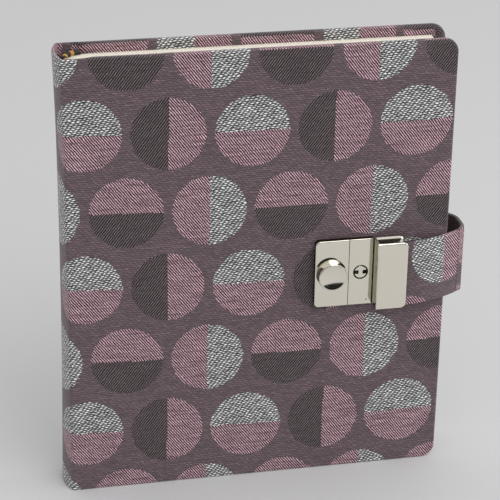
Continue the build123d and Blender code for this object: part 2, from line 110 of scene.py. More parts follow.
def linear(colour: str) -> tuple[float, float, float, float]:
    """Turn an sRGB hex colour into linear light.

    Args:
        colour: six hex digits after a hash.

    Returns:
        Red, green, blue and an alpha of one.
    """
    parts = [int(colour[i : i + 2], 16) / 255 for i in (1, 3, 5)]
    light = [c / 12.92 if c <= 0.04045 else ((c + 0.055) / 1.055) ** 2.4 for c in parts]
    return (light[0], light[1], light[2], 1.0)


def add_node(tree: Tree, kind: str, inputs: dict | None = None, **settings: object) -> bpy.types.Node:
    """Add a node with its settings, and fill or link its inputs.

    Args:
        tree: the node tree that takes the node.
        kind: the node's type name.
        inputs: input names or numbers, each with a value or an output socket.
        settings: the node's own properties.

    Returns:
        The new node.
    """
    node = tree.nodes.new(kind)
    for name, value in settings.items():
        setattr(node, name, value)
    for key, value in (inputs or {}).items():
        if isinstance(value, Socket):
            tree.links.new(value, node.inputs[key])
        else:
            node.inputs[key].default_value = value
    return node


def work_out(tree: Tree, known: dict, steps: tuple) -> dict:
    """Add a chain of sums to a tree.

    Args:
        tree: the node tree that takes the sums.
        known: values that exist already, by name.
        steps: rows of a new name, an operation and its operands, each a name or a number.

    Returns:
        All values by name.
    """
    values = dict(known)
    for name, operation, *operands in steps:
        inputs = {i: values[o] if isinstance(o, str) else o for i, o in enumerate(operands)}
        values[name] = add_node(tree, "ShaderNodeMath", inputs, operation=operation).outputs[0]
    return values


def new_finish(name: str) -> tuple[Finish, Tree, bpy.types.Node]:
    """Start a material.

    Args:
        name: the material's name.

    Returns:
        The material, its emptied tree, and its shader, linked to the output.
    """
    finish = bpy.data.materials.new(name)
    finish.use_nodes = True
    tree = finish.node_tree
    tree.nodes.clear()
    shader = add_node(tree, "ShaderNodeBsdfPrincipled")
    add_node(tree, "ShaderNodeOutputMaterial", {"Surface": shader.outputs["BSDF"]})
    return finish, tree, shader


def grid(columns: int, rows: int, ring: bool = False) -> list[Face]:
    """Number the corners of the faces between neighbouring columns of corners.

    Args:
        columns: how many columns there are.
        rows: how many corners a column has.
        ring: whether each column closes on itself.

    Returns:
        The faces.
    """
    faces = []
    for j in range(columns - 1):
        here, beside = j * rows, (j + 1) * rows
        for k in range(rows if ring else rows - 1):
            after = (k + 1) % rows
            faces.append((here + k, beside + k, beside + after, here + after))
    return faces


def new_piece(name: str, points: list, faces: list[Face], runs: list | None = None) -> Piece:
    """Make a smooth mesh piece.

    Args:
        name: the piece's name.
        points: corners in metres.
        faces: corner numbers of each face.
        runs: for each corner, where it lies on the unrolled cloth, in metres.

    Returns:
        The object, linked to the scene.
    """
    mesh = bpy.data.meshes.new(name)
    mesh.from_pydata([tuple(p) for p in points], [], faces)
    if runs:
        layer = mesh.uv_layers.new(name="cloth")
        for loop in mesh.loops:
            layer.data[loop.index].uv = runs[loop.vertex_index]
    piece = bpy.data.objects.new(name, mesh)
    bpy.context.scene.collection.objects.link(piece)
    smooth(piece)
    return piece


def smooth(piece: Piece, on: bool = True) -> None:
    """Shade every face of a piece smooth, or flat."""
    piece.data.polygons.foreach_set("use_smooth", [on] * len(piece.data.polygons))


def crease(piece: Piece, from_deg: float = 60.0) -> None:
    """Keep a piece sharp at the edges that turn by more than an angle."""
    piece.data.set_sharp_from_angle(angle=math.radians(from_deg))


def weld(piece: Piece, reach: float = 1e-7, face_out: bool = False) -> None:
    """Join a piece's doubled corners.

    Args:
        piece: the piece.
        reach: how near two corners have to be, in metres.
        face_out: whether to turn its faces outwards as well.
    """
    mesh = bmesh.new()
    mesh.from_mesh(piece.data)
    bmesh.ops.remove_doubles(mesh, verts=mesh.verts, dist=reach)
    if face_out:
        bmesh.ops.recalc_face_normals(mesh, faces=mesh.faces)
    mesh.to_mesh(piece.data)
    mesh.free()


def settle(piece: Piece) -> Piece:
    """Turn a piece and its modifiers into one plain mesh.

    Args:
        piece: the piece.

    Returns:
        The same object, without modifiers.
    """
    bpy.context.view_layer.update()
    evaluated = piece.evaluated_get(bpy.context.evaluated_depsgraph_get())
    mesh = bpy.data.meshes.new_from_object(evaluated)
    mesh.name = piece.name
    piece.modifiers.clear()
    piece.data = mesh
    return piece


def thicken(piece: Piece, thickness: float) -> None:
    """Give a sheet its thickness, inwards from its faces.

    Args:
        piece: the sheet.
        thickness: how thick it is, in metres.
    """
    wall = piece.modifiers.new("wall", "SOLIDIFY")
    wall.thickness = thickness
    wall.offset = -1.0
    settle(piece)


def dress(piece: Piece, finish: Finish, slot: Slot, *nodes: str) -> Piece:
    """Give a piece its finish, and let it stand for CAD nodes.

    Args:
        piece: the piece.
        finish: its material.
        slot: the record's slot; not used.
        nodes: the CAD nodes that it replaces.

    Returns:
        The piece.
    """
    piece.data.materials.clear()
    piece.data.materials.append(finish)
    if nodes:
        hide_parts(*nodes)
    LOG.info("%s: %d faces, stands for %s", piece.name, len(piece.data.polygons), nodes or "nothing")
    return piece


@dataclass(frozen=True)
class Plan:
    """Places of the diary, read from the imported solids, in metres.

    left is the spine's outermost line, joint where its cloth meets a cover's joint, board where a cover's
    board starts and reach the fore-edge. front and back are the covers' faces, height is that of the
    covers, and cover their thickness.
    """

    left: float
    joint: float
    board: float
    reach: float
    front: float
    back: float
    height: float
    cover: float

    @classmethod
    def read(cls) -> "Plan":
        """Read the places from the boxes of the spine and the front cover.

        Returns:
            The places.
        """
        spine_low, spine_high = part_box("spine_cloth")
        cover_low, cover_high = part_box("front_cover_cloth")
        return cls(
            left=spine_low.x,
            joint=spine_high.x,
            board=cover_low.x,
            reach=cover_high.x,
            front=spine_low.y,
            back=spine_high.y,
            height=cover_high.z,
            cover=cover_high.y - cover_low.y,
        )

    @property
    def spine_reach(self) -> float:
        """How far the spine stands out from its joints."""
        return self.joint - self.left

    @property
    def middle(self) -> float:
        """Depth half-way between the covers."""
        return (self.front + self.back) / 2


@dataclass(frozen=True)
class Weave:
    """One weave of the jacquard: rows of raised thread dashes, with shade between them.

    rows_deg is the slant of the rows, pitch_mm their spacing and dash_mm the length of a dash. stagger
    shifts each row along, dip is how far a dash sinks at its ends, fleck how far dashes differ, sharp
    how narrow a thread's bright crest is, gain how soon it reaches its full brightness, wander_mm how
    far the threads stray from their rows, and slub how far the weft differs from pick to pick.
    """

    crest: str
    valley: str
    rows_deg: float
    pitch_mm: float
    dash_mm: float
    stagger: float
    dip: float
    fleck: float
    sharp: float
    gain: float
    wander_mm: float
    slub: float

    def add(self, tree: Tree, known: dict) -> tuple[Socket, Socket]:
        """Add the weave's nodes.

        Args:
            tree: the cloth's node tree.
            known: the cloth's places u and v in millimetres, and its drifts du and dv and the weft's
                pick from nought to one.

        Returns:
            The weave's colour and its height from nought to one.
        """
        turn = math.radians(self.rows_deg)
        values = work_out(tree, known, (
            ("u_laid", "MULTIPLY_ADD", "du", self.wander_mm, "u"),
            ("v_laid", "MULTIPLY_ADD", "dv", self.wander_mm, "v"),
            ("u_over", "MULTIPLY", "u_laid", -math.sin(turn) / self.pitch_mm),
            ("over", "MULTIPLY_ADD", "v_laid", math.cos(turn) / self.pitch_mm, "u_over"),
            ("u_on", "MULTIPLY", "u_laid", math.cos(turn) / self.dash_mm),
            ("on", "MULTIPLY_ADD", "v_laid", math.sin(turn) / self.dash_mm, "u_on"),
            ("row", "FLOOR", "over"),
            ("place", "MULTIPLY_ADD", "row", self.stagger, "on"),
            ("dash_number", "FLOOR", "place"),
        ))
        cell = add_node(tree, "ShaderNodeCombineXYZ", {0: values["row"], 1: values["dash_number"]})
        draw = add_node(tree, "ShaderNodeTexWhiteNoise", {"Vector": cell.outputs[0]}, noise_dimensions="2D")
        values = work_out(tree, values | {"draw": draw.outputs["Value"]}, (
            ("over_turn", "MULTIPLY", "over", TAU),
            ("over_wave", "COSINE", "over_turn"),
            ("rise", "MULTIPLY_ADD", "over_wave", -0.5, 0.5),
            ("ridge", "POWER", "rise", self.sharp),
            ("on_turn", "MULTIPLY", "place", TAU),
            ("on_wave", "COSINE", "on_turn"),
            ("swell", "MULTIPLY_ADD", "on_wave", -0.5, 0.5),
            ("crown", "POWER", "swell", self.sharp),
            ("dash", "MULTIPLY_ADD", "crown", self.dip, 1 - self.dip),
            ("uneven", "MULTIPLY_ADD", "draw", self.fleck, 1 - self.fleck),
            ("thread", "MULTIPLY", "ridge", "dash"),
            ("spun", "MULTIPLY_ADD", "pick", 2 * self.slub, 1 - self.slub),
            ("laid", "MULTIPLY", "thread", "uneven"),
            ("height", "MULTIPLY", "laid", "spun"),
            ("lit", "MULTIPLY", "height", self.gain),
        ))
        colours = {"Factor": values["lit"], 6: linear(self.valley), 7: linear(self.crest)}
        mix = add_node(tree, "ShaderNodeMix", colours, data_type="RGBA", clamp_factor=True)
        return mix.outputs[2], values["height"]


@dataclass(frozen=True)
class JacquardCloth:
    """Jacquard book cloth: two-tone dots in staggered rows, woven in four structures.

    Polyester and metallised threads give the eye a dull mauve ground with fine ribs, and dots of coarser,
    brighter twills. Real threads lie a few tenths of a millimetre apart, too fine to show, so they are
    drawn near a millimetre apart. across_mm and down_mm are the spacing of the dots, dot_mm is their
    radius, turn_deg the slant of their rows, and bow_mm how far the rows sag in the middle of the cover.
    step_mm is the width of a thread, in which the outline of a dot is stepped, and drift_per_mm and
    drift_detail set the noise by which threads stray.
    """

    across_mm: float = 31.43
    down_mm: float = 31.21
    dot_mm: float = 14.1
    turn_deg: float = 0.606
    first_right_mm: float = 9.43
    first_above_head_mm: float = 0.92
    bow_mm: float = 0.85
    bow_middle_mm: float = 79.0
    bow_half_mm: float = 57.0
    bow_limit: float = 1.6
    drift_per_mm: float = 0.55
    drift_detail: float = 2.0
    wander_mm: float = 0.14
    step_mm: float = 0.45
    slub_long_mm: float = 12.0
    slub_high_mm: float = 0.75
    slub_detail: float = 1.0
    relief: float = 0.1 * MM
    bump: float = 0.8
    rough: float = 0.6
    specular: float = 0.35
    sheen: float = 0.15
    ground: Weave = Weave(
        crest="#836d74", valley="#4b4044", rows_deg=0.0, pitch_mm=0.8, dash_mm=1.9, stagger=0.37,
        dip=0.5, fleck=0.6, sharp=1.0, gain=1.2, wander_mm=1.2, slub=0.6,
    )
    rose: Weave = Weave(
        crest="#ffd4e0", valley="#2a0c17", rows_deg=-52.7, pitch_mm=0.829, dash_mm=0.704, stagger=0.082,
        dip=0.35, fleck=0.35, sharp=2.5, gain=1.22, wander_mm=0.5, slub=0.9,
    )
    silver: Weave = Weave(
        crest="#ffffff", valley="#08080a", rows_deg=5.0, pitch_mm=0.82, dash_mm=1.8, stagger=-0.4,
        dip=0.85, fleck=0.5, sharp=1.3, gain=1.6, wander_mm=1.2, slub=0.3,
    )
    dark: Weave = Weave(
        crest="#8a7a7d", valley="#150f11", rows_deg=53.3, pitch_mm=0.853, dash_mm=0.71, stagger=-0.126,
        dip=0.4, fleck=0.3, sharp=2.2, gain=1.2, wander_mm=0.5, slub=0.5,
    )

    def dot_steps(self) -> tuple:
        """The sums from a place on the cloth to its dot and the half of the dot.

        Returns:
            Rows for work_out, of which the last give the masks rose, silver and dark.
        """
        turn = math.radians(self.turn_deg)
        swing, hold = math.sin(turn), math.cos(turn)
        return (
            ("u_cell", "SNAP", "u", self.step_mm),
            ("v_cell", "SNAP", "v", self.step_mm),
            ("off_middle", "SUBTRACT", "u_cell", self.bow_middle_mm),
            ("off_share", "MULTIPLY", "off_middle", 1 / self.bow_half_mm),
            ("off_square", "MULTIPLY", "off_share", "off_share"),
            ("off_held", "MINIMUM", "off_square", self.bow_limit),
            ("bow", "MULTIPLY_ADD", "off_held", self.bow_mm, -self.bow_mm),
            ("right", "SUBTRACT", "u_cell", self.first_right_mm),
            ("below_head", "SUBTRACT", "head", "v_cell"),
            ("down", "ADD", "below_head", "bow"),
            ("right_part", "MULTIPLY", "right", hold / self.across_mm),
            ("column", "MULTIPLY_ADD", "down", swing / self.across_mm, "right_part"),
            ("down_part", "MULTIPLY", "down", hold / self.down_mm),
            ("line", "MULTIPLY_ADD", "right", -swing / self.down_mm, "down_part"),
            ("row", "ROUND", "line"),
            ("row_odd", "FLOORED_MODULO", "row", 2.0),
            ("offset", "MULTIPLY_ADD", "row_odd", -0.5, 0.5),
            ("in_row", "SUBTRACT", "column", "offset"),
            ("dot", "ROUND", "in_row"),
            ("dot_odd", "FLOORED_MODULO", "dot", 2.0),
            ("past_middle", "SUBTRACT", "in_row", "dot"),
            ("below_middle", "SUBTRACT", "line", "row"),
            ("x_mm", "MULTIPLY", "past_middle", self.across_mm),
            ("y_mm", "MULTIPLY", "below_middle", self.down_mm),
            ("x_square", "MULTIPLY", "x_mm", "x_mm"),
            ("square", "MULTIPLY_ADD", "y_mm", "y_mm", "x_square"),
            ("distance", "SQRT", "square"),
            ("inside", "LESS_THAN", "distance", self.dot_mm),
            ("right_half", "GREATER_THAN", "past_middle", 0.0),
            ("lower_half", "GREATER_THAN", "below_middle", 0.0),
            ("half_change", "SUBTRACT", "right_half", "lower_half"),
            ("second", "MULTIPLY_ADD", "dot_odd", "half_change", "lower_half"),
            ("other_sign", "SUBTRACT", "row_odd", "second"),
            ("other", "ABSOLUTE", "other_sign"),
            ("bright_sign", "SUBTRACT", "row_odd", "dot_odd"),
            ("bright", "ABSOLUTE", "bright_sign"),
            ("other_inside", "MULTIPLY", "inside", "other"),
            ("rose", "SUBTRACT", "inside", "other_inside"),
            ("silver", "MULTIPLY", "other_inside", "bright"),
            ("dark", "SUBTRACT", "other_inside", "silver"),
        )

    def make(self, height: float) -> Finish:
        """Make the material.

        Args:
            height: the height of the cover, in metres, from which the rows of dots are counted.

        Returns:
            The material, which reads the pieces' cloth runs.
        """
        finish, tree, shader = new_finish("jacquard_cloth")
        run = add_node(tree, "ShaderNodeUVMap", uv_map="cloth").outputs["UV"]
        in_mm = add_node(tree, "ShaderNodeVectorMath", {0: run, 1: (1 / MM,) * 3}, operation="MULTIPLY")
        place = in_mm.outputs[0]
        drifting = {"Vector": place, "Scale": self.drift_per_mm, "Detail": self.drift_detail}
        drift = add_node(tree, "ShaderNodeTexNoise", drifting).outputs["Color"]
        split = add_node(tree, "ShaderNodeSeparateXYZ", {0: place}).outputs
        drifts = add_node(tree, "ShaderNodeSeparateXYZ", {0: drift}).outputs
        sway = -0.5 * self.wander_mm
        known = {"u0": split[0], "v0": split[1], "du": drifts[0], "dv": drifts[1]}
        known["head"] = height / MM + self.first_above_head_mm
        values = work_out(tree, known, (
            ("u_sway", "MULTIPLY_ADD", "du", self.wander_mm, sway),
            ("v_sway", "MULTIPLY_ADD", "dv", self.wander_mm, sway),
            ("u", "ADD", "u0", "u_sway"),
            ("v", "ADD", "v0", "v_sway"),
            *self.dot_steps(),
        ))
        drawn = {0: place, 1: (1 / self.slub_long_mm, 1 / self.slub_high_mm, 0.0)}
        picks = add_node(tree, "ShaderNodeVectorMath", drawn, operation="MULTIPLY").outputs[0]
        spinning = {"Vector": picks, "Scale": 1.0, "Detail": self.slub_detail}
        spun = add_node(tree, "ShaderNodeTexNoise", spinning)
        woven = {name: values[name] for name in ("u", "v", "du", "dv")} | {"pick": spun.outputs["Fac"]}
        colour, rise = self.ground.add(tree, woven)
        for weave, mask in ((self.dark, "dark"), (self.rose, "rose"), (self.silver, "silver")):
            dot_colour, dot_rise = weave.add(tree, woven)
            colours = {"Factor": values[mask], 6: colour, 7: dot_colour}
            colour = add_node(tree, "ShaderNodeMix", colours, data_type="RGBA").outputs[2]
            rises = {"Factor": values[mask], 2: rise, 3: dot_rise}
            rise = add_node(tree, "ShaderNodeMix", rises, data_type="FLOAT").outputs[0]
        raised = {"Height": rise, "Distance": self.relief, "Strength": self.bump}
        bump = add_node(tree, "ShaderNodeBump", raised)
        tree.links.new(colour, shader.inputs["Base Color"])
        tree.links.new(bump.outputs["Normal"], shader.inputs["Normal"])
        shader.inputs["Roughness"].default_value = self.rough
        shader.inputs["Specular IOR Level"].default_value = self.specular
        shader.inputs["Sheen Weight"].default_value = self.sheen
        return finish

    def dot_middle(self, column: float, row: float, height: float) -> Vector:
        """Where a dot's middle lies on the cloth.

        Args:
            column: the dot's place in its row, in pitches.
            row: its row, counted down from the head.
            height: the height of the cover, in metres.

        Returns:
            The place on the unrolled cloth, in metres.
        """
        turn = math.radians(self.turn_deg)
        right, down = column * self.across_mm, row * self.down_mm
        across = self.first_right_mm + math.cos(turn) * right - math.sin(turn) * down
        below = math.sin(turn) * right + math.cos(turn) * down - self.first_above_head_mm
        return Vector((across * MM, height - below * MM))


@dataclass(frozen=True)
class PolishedNickel:
    """Nickel plate on pressed steel, polished.

    It gives the eye a warm grey mirror, a little softened by handling. sharp and dull are the least and
    the most roughness, and smear_mm is the size of the smears that fingers leave.
    """

    colour: str = "#e8e3d5"
    sharp: float = 0.06
    dull: float = 0.12
    smear_mm: float = 6.0
    detail: float = 4.0

    def make(self) -> Finish:
        """Make the material.

        Returns:
            The material.
        """
        finish, tree, shader = new_finish("polished_nickel")
        place = add_node(tree, "ShaderNodeTexCoord").outputs["Object"]
        smearing = {"Vector": place, "Scale": 1 / (self.smear_mm * MM), "Detail": self.detail}
        smear = add_node(tree, "ShaderNodeTexNoise", smearing)
        span = {"Value": smear.outputs["Fac"], "To Min": self.sharp, "To Max": self.dull}
        rough = add_node(tree, "ShaderNodeMapRange", span)
        tree.links.new(rough.outputs["Result"], shader.inputs["Roughness"])
        shader.inputs["Base Color"].default_value = linear(self.colour)
        shader.inputs["Metallic"].default_value = 1.0
        return finish


@dataclass(frozen=True)
class MottledFinish:
    """A finish whose colour drifts between two tones, as paper, board, thread and dull metal do.

    grain_mm is the size of its mottling and relief_mm the depth of its tooth. Single fibres, filaments and
    draw marks are too fine to show in a render, so grain_mm is coarser than they are.
    """

    name: str
    light: str
    shade: str
    grain_mm: float
    relief_mm: float
    rough: float
    metallic: float = 0.0
    detail: float = 5.0

    def make(self) -> Finish:
        """Make the material.

        Returns:
            The material.
        """
        finish, tree, shader = new_finish(self.name)
        place = add_node(tree, "ShaderNodeTexCoord").outputs["Object"]
        mottle = {"Vector": place, "Scale": 1 / (self.grain_mm * MM), "Detail": self.detail}
        grain = add_node(tree, "ShaderNodeTexNoise", mottle).outputs["Fac"]
        tones = {"Factor": grain, 6: linear(self.shade), 7: linear(self.light)}
        tone = add_node(tree, "ShaderNodeMix", tones, data_type="RGBA")
        bump = add_node(tree, "ShaderNodeBump", {"Height": grain, "Distance": self.relief_mm * MM})
        tree.links.new(tone.outputs[2], shader.inputs["Base Color"])
        tree.links.new(bump.outputs["Normal"], shader.inputs["Normal"])
        shader.inputs["Roughness"].default_value = self.rough
        shader.inputs["Metallic"].default_value = self.metallic
        return finish


# Wove paper, cut: warm white with a soft tooth. Its fibres are far finer, and are drawn as small clouds.
PAPER = MottledFinish("wove_paper", "#f8f4e8", "#efe9d8", grain_mm=0.9, relief_mm=0.02, rough=0.8)
# Heavier paper for the ends: a shade creamier and smoother, with larger clouds of pulp.
END_PAPER = MottledFinish("end_paper", "#f4efe2", "#e9e2d1", grain_mm=1.4, relief_mm=0.02, rough=0.75)
# Grey board, pressed from waste paper: brownish grey, quite dull, with flecks.
GREY_BOARD = MottledFinish("grey_board", "#8d8576", "#766e61", grain_mm=0.8, relief_mm=0.05, rough=0.9)
# Manila card, rolled: buff and dull. Its fibres are drawn coarser than they are, so that they show.
MANILA_CARD = MottledFinish("manila_card", "#c9b994", "#b9a883", grain_mm=0.8, relief_mm=0.03, rough=0.85)
# Starched cotton gauze: off-white, with the unevenness of its open threads.
STARCHED_GAUZE = MottledFinish(
    "starched_gauze", "#e3dfd3", "#c9c4b5", grain_mm=0.5, relief_mm=0.06, rough=0.9
)
# Twisted silk, black and gold: a soft sheen. Its filaments are too fine to show, so they are drawn as a
# coarser mottling.
BLACK_SILK = MottledFinish(
    "black_silk_thread", "#2a2521", "#0f0d0b", grain_mm=0.3, relief_mm=0.03, rough=0.45
)
GOLD_SILK = MottledFinish(
    "gold_silk_thread", "#e0ad57", "#b57f2c", grain_mm=0.3, relief_mm=0.03, rough=0.42
)
# Painted shade in the strap's loop, laid on its inside as a plain lining: nearly black, with no sheen,
# so that the loop looks deep.
STRAP_INSIDE_SHADE = MottledFinish("strap_inside_painted_shade", "#3d3133", "#2b2224", grain_mm=0.5, relief_mm=0.04, rough=0.85)
# Painted shade in the keyhole's groove and slots: black and half dull, which draws the keyhole.
KEYHOLE_SHADE = MottledFinish("keyhole_painted_shade", "#1c1814", "#0b0a09", grain_mm=0.4, relief_mm=0.02, rough=0.5)
# Painted shade at the sides of the lock's plates: dark brownish metal, a dark line round each plate.
PLATE_SIDE_SHADE = MottledFinish(
    "plate_side_painted_shade", "#4a4036", "#2a2420", grain_mm=0.4, relief_mm=0.01, rough=0.5, metallic=1.0
)
# Nickel that was never polished, on the hasp's side: blurred, with painted shade that makes it olive and
# a step darker than its front.
HASP_SIDE_SHADE = MottledFinish(
    "hasp_side_painted_shade", "#b3a98f", "#8d8369", grain_mm=0.4, relief_mm=0.01, rough=0.22, metallic=1.0
)
# Cold-drawn steel: a plain grey metal with a satin blur.
DRAWN_STEEL = MottledFinish(
    "drawn_steel", "#a9a9a8", "#8b8b8a", grain_mm=0.6, relief_mm=0.01, rough=0.35, metallic=1.0
)


@dataclass(frozen=True)
class SkinColumn:
    """One upright line of the case cloth, from the tail edge to the head edge.

    place is its point in plan on the cloth's face, inward the way into the board, along the way to the
    fore-edge. run is the distance along the cloth, thick what the cloth is turned round, corner the angle
    reached in the rounded corner, and to_corner how far the corner's start is.
    """

    place: PlanPoint
    inward: PlanPoint
    along: PlanPoint
    run: float
    thick: float
    corner: float = 0.0
    to_corner: float = 1.0


@dataclass(frozen=True)
class RimPoint:
    """A corner on the rim of a cloth face.

    number is its corner number and column the column it ends. out and up are the way over the edge,
    and limit is how far inwards the turn-in may reach there.
    """

    number: int
    column: SkinColumn
    out: float
    up: float
    limit: float


@dataclass
class CaseCloth:
    """The cloth of both covers and the spine, turned in over the boards' edges.

    edge is the radius over a board's edge and corner that of a board's corner. bulge is the rise of the
    spine's arch and shoulder the radius at its sides. The spine is drawn in by waist at the height
    waist_at, a share of the whole, and stands out by flare at the tail. waist_below and waist_above are
    how far the waist reaches. meet is the share of a corner's radius at which the turn-ins of two edges
    meet, and pleat_at_edge how much of its rise a pleat has where the cloth leaves the edge.
    """

    plan: Plan
    finish: Finish
    card_finish: Finish
    edge: float = 0.8 * MM
    corner: float = 5.5 * MM
    turn_in: float = 15.0 * MM
    turn_in_marks: tuple[float, ...] = (0.08, 0.3, 0.65, 1.0)
    meet: float = 0.97
    spine_thick: float = 1.2 * MM
    bulge: float = 2.05 * MM
    shoulder: float = 1.4 * MM
    waist: float = 2.05 * MM
    flare: float = 1.45 * MM
    waist_at: float = 0.75
    waist_below: float = 0.75
    waist_above: float = 0.395
    waist_power: float = 2.2
    card: float = 0.5 * MM
    card_gap: float = 0.05 * MM
    card_rows: int = 24
    seam_past_joint: float = 0.75 * MM
    sheet: float = 0.3 * MM
    pleats: int = 5
    pleat_rise: float = 0.45 * MM
    pleat_at_edge: float = 0.5
    joint_steps: int = 8
    board_steps: int = 16
    corner_steps: int = 30
    edge_steps: int = 4
    flat_steps: int = 6
    shoulder_steps: int = 10
    arch_steps: int = 24
    row_steps: int = 16
    end_row: float = 0.8 * MM

    def thickness(self, x: float) -> float:
        """Thickness that the cloth goes round at a place on a cover or its joint.

        Args:
            x: the place.

        Returns:
            The thickness, growing from the spine's to the cover's over the joint.
        """
        share = min(max((x - self.plan.joint) / (self.plan.board - self.plan.joint), 0.0), 1.0)
        return self.spine_thick + share * (self.plan.cover - self.spine_thick)

    def flat_places(self) -> list[tuple[float, float]]:
        """Where a cover's columns stand, from the seam at the joint to the fore-edge.

        Returns:
            For each column, its x and the angle that it has reached in the rounded corner.
        """
        plan = self.plan
        seam = plan.joint + self.seam_past_joint
        start = plan.reach - self.corner
        joint = [seam + (plan.board - seam) * i / self.joint_steps for i in range(self.joint_steps)]
        board = [plan.board + (start - plan.board) * i / self.board_steps for i in range(self.board_steps)]
        turns = [QUARTER * i / self.corner_steps for i in range(self.corner_steps + 1)]
        inner = self.corner - self.edge
        return [(x, 0.0) for x in joint + board] + [(start + inner * math.sin(a), a) for a in turns]

    def cover_columns(self, front: bool) -> list[SkinColumn]:
        """Columns of one cover.

        Args:
            front: whether it is the front cover.

        Returns:
            The columns from the seam to the fore-edge.
        """
        plan = self.plan
        start = plan.reach - self.corner
        depth, inward = (plan.front, 1.0) if front else (plan.back, -1.0)
        spine_end = self.spine_columns()[-1].run
        columns = []
        for x, turn in self.flat_places():
            run = x - plan.left if front else spine_end - (x - plan.joint)
            way = max(start - x, 0.0)
            columns.append(SkinColumn((x, depth), (0, inward), (1, 0), run, self.thickness(x), turn, way))
        return columns

    def spine_arcs(self) -> tuple[float, float, float]:
        """Work out the spine's arch and its shoulders.

        Returns:
            The arch's radius, where the front shoulder starts, and how far that shoulder turns.
        """
        half = (self.plan.back - self.plan.front) / 2
        arch = (half**2 + self.bulge**2) / (2 * self.bulge)
        off = math.sqrt((arch - self.shoulder) ** 2 - (half - self.shoulder) ** 2)
        return arch, self.plan.left + arch - off, math.atan2(off, half - self.shoulder)

    def spine_columns(self, inset: float = 0.0) -> list[SkinColumn]:
        """Columns round the spine, from the front joint over its shoulders and arch to the back joint.

        Args:
            inset: how far inside the cloth's face they lie.

        Returns:
            The columns.
        """
        plan, shoulder = self.plan, self.shoulder
        arch, start, swing = self.spine_arcs()
        flat = plan.joint - start
        front, back = (start, plan.front + shoulder), (start, plan.back - shoulder)
        steps = [flat * i / self.flat_steps for i in range(self.flat_steps + 1)]
        places = [((plan.joint - step, front[1]), shoulder, 0.0, step) for step in steps[:-1]]
        passed = flat
        for centre, radius, turned, sweep, count in (
            (front, shoulder, 0.0, swing, self.shoulder_steps),
            ((plan.left + arch, plan.middle), arch, swing, math.pi - 2 * swing, self.arch_steps),
            (back, shoulder, math.pi - swing, swing, self.shoulder_steps),
        ):
            turns = [sweep * i / count for i in range(count)]
            places += [(centre, radius, turned + turn, passed + radius * turn) for turn in turns]
            passed += radius * sweep
        places += [((start + step, back[1]), shoulder, math.pi, passed + step) for step in steps]
        columns = []
        for (x, y), radius, turn, run in places:
            inward = (math.sin(turn), math.cos(turn))
            place = (x - (radius - inset) * inward[0], y - (radius - inset) * inward[1])
            along = (inward[1], -inward[0])
            columns.append(SkinColumn(place, inward, along, plan.spine_reach - run, self.spine_thick))
        return columns

    def draw_in(self, piece: Piece) -> None:
        """Draw the spine in where it is waisted, above its middle, and let it flare at the tail.

        Args:
            piece: a piece that goes round the spine.
        """
        plan = self.plan
        start = self.spine_arcs()[1]
        for vertex in piece.data.vertices:
            share = max((start - vertex.co.x) / (start - plan.left), 0.0)
            past = vertex.co.z / plan.height - self.waist_at
            reach = self.waist_above if past > 0 else self.waist_below
            drawn = self.waist * (1 - (abs(past) / reach) ** self.waist_power)
            vertex.co.x += share * (drawn - self.flare)

    def ends(self, column: SkinColumn) -> tuple[float, float]:
        """Lowest and highest point of a column's face, inside the rounded edges."""
        low = self.corner - (self.corner - self.edge) * math.cos(column.corner)
        return low, self.plan.height - low

    def row_heights(self, low: float, high: float) -> list[float]:
        """Heights of a column's corners, with one more close to each end.

        Args:
            low: the column's lowest point.
            high: its highest point.

        Returns:
            The heights from low to high.
        """
        close, steps = self.end_row, self.row_steps
        middle = [low + close + (high - low - 2 * close) * k / steps for k in range(steps + 1)]
        return [low, *middle, high]

    def rim_profile(self, thick: float, limit: float) -> list[tuple[float, float, float, float]]:
        """The way over an edge, from the face to the end of the turn-in.

        Args:
            thick: the thickness that the cloth goes round.
            limit: how far inwards the turn-in may reach.

        Returns:
            For each step, how far out and how deep it is, the run of cloth, and the share of a pleat.
        """
        edge, steps = self.edge, []
        over = min(edge, thick / 2)
        for i in range(1, self.edge_steps + 1):
            turn = QUARTER * i / self.edge_steps
            steps.append((edge * math.sin(turn), over * (1 - math.cos(turn)), edge * turn, 0.0))
        run = edge * QUARTER + thick - 2 * over
        for i in range(self.edge_steps + 1):
            turn = QUARTER * i / self.edge_steps
            out, deep = edge * math.cos(turn), thick - over * (1 - math.sin(turn))
            steps.append((out, deep, run + edge * turn, self.pleat_at_edge * i / self.edge_steps))
        run += edge * QUARTER
        reach = min(self.turn_in - edge, limit)
        steps += [(-reach * mark, thick, run + reach * mark, 1.0) for mark in self.turn_in_marks]
        return steps

    def rim(self, columns: list[SkinColumn], rows: int) -> list[RimPoint]:
        """The rim of a face: along the tail, up the fore-edge if it has one, and back along the head.

        Args:
            columns: the face's columns.
            rows: how many corners a column has.

        Returns:
            The rim's corners in order.
        """
        inner = (self.corner - self.edge) * self.meet
        last = len(columns) - 1
        tail = [
            RimPoint(j * rows, c, math.sin(c.corner), -math.cos(c.corner), inner + c.to_corner)
            for j, c in enumerate(columns)
        ]
        head = [RimPoint(p.number + rows - 1, p.column, p.out, -p.up, p.limit) for p in reversed(tail)]
        if columns[last].corner == 0.0:
            return tail + head
        low, high = self.ends(columns[last])
        side = []
        for k, z in list(enumerate(self.row_heights(low, high)))[1:-1]:
            limit = inner + min(z - low, high - z)
            side.append(RimPoint(last * rows + k, columns[last], 1.0, 0.0, limit))
        return tail + side + head

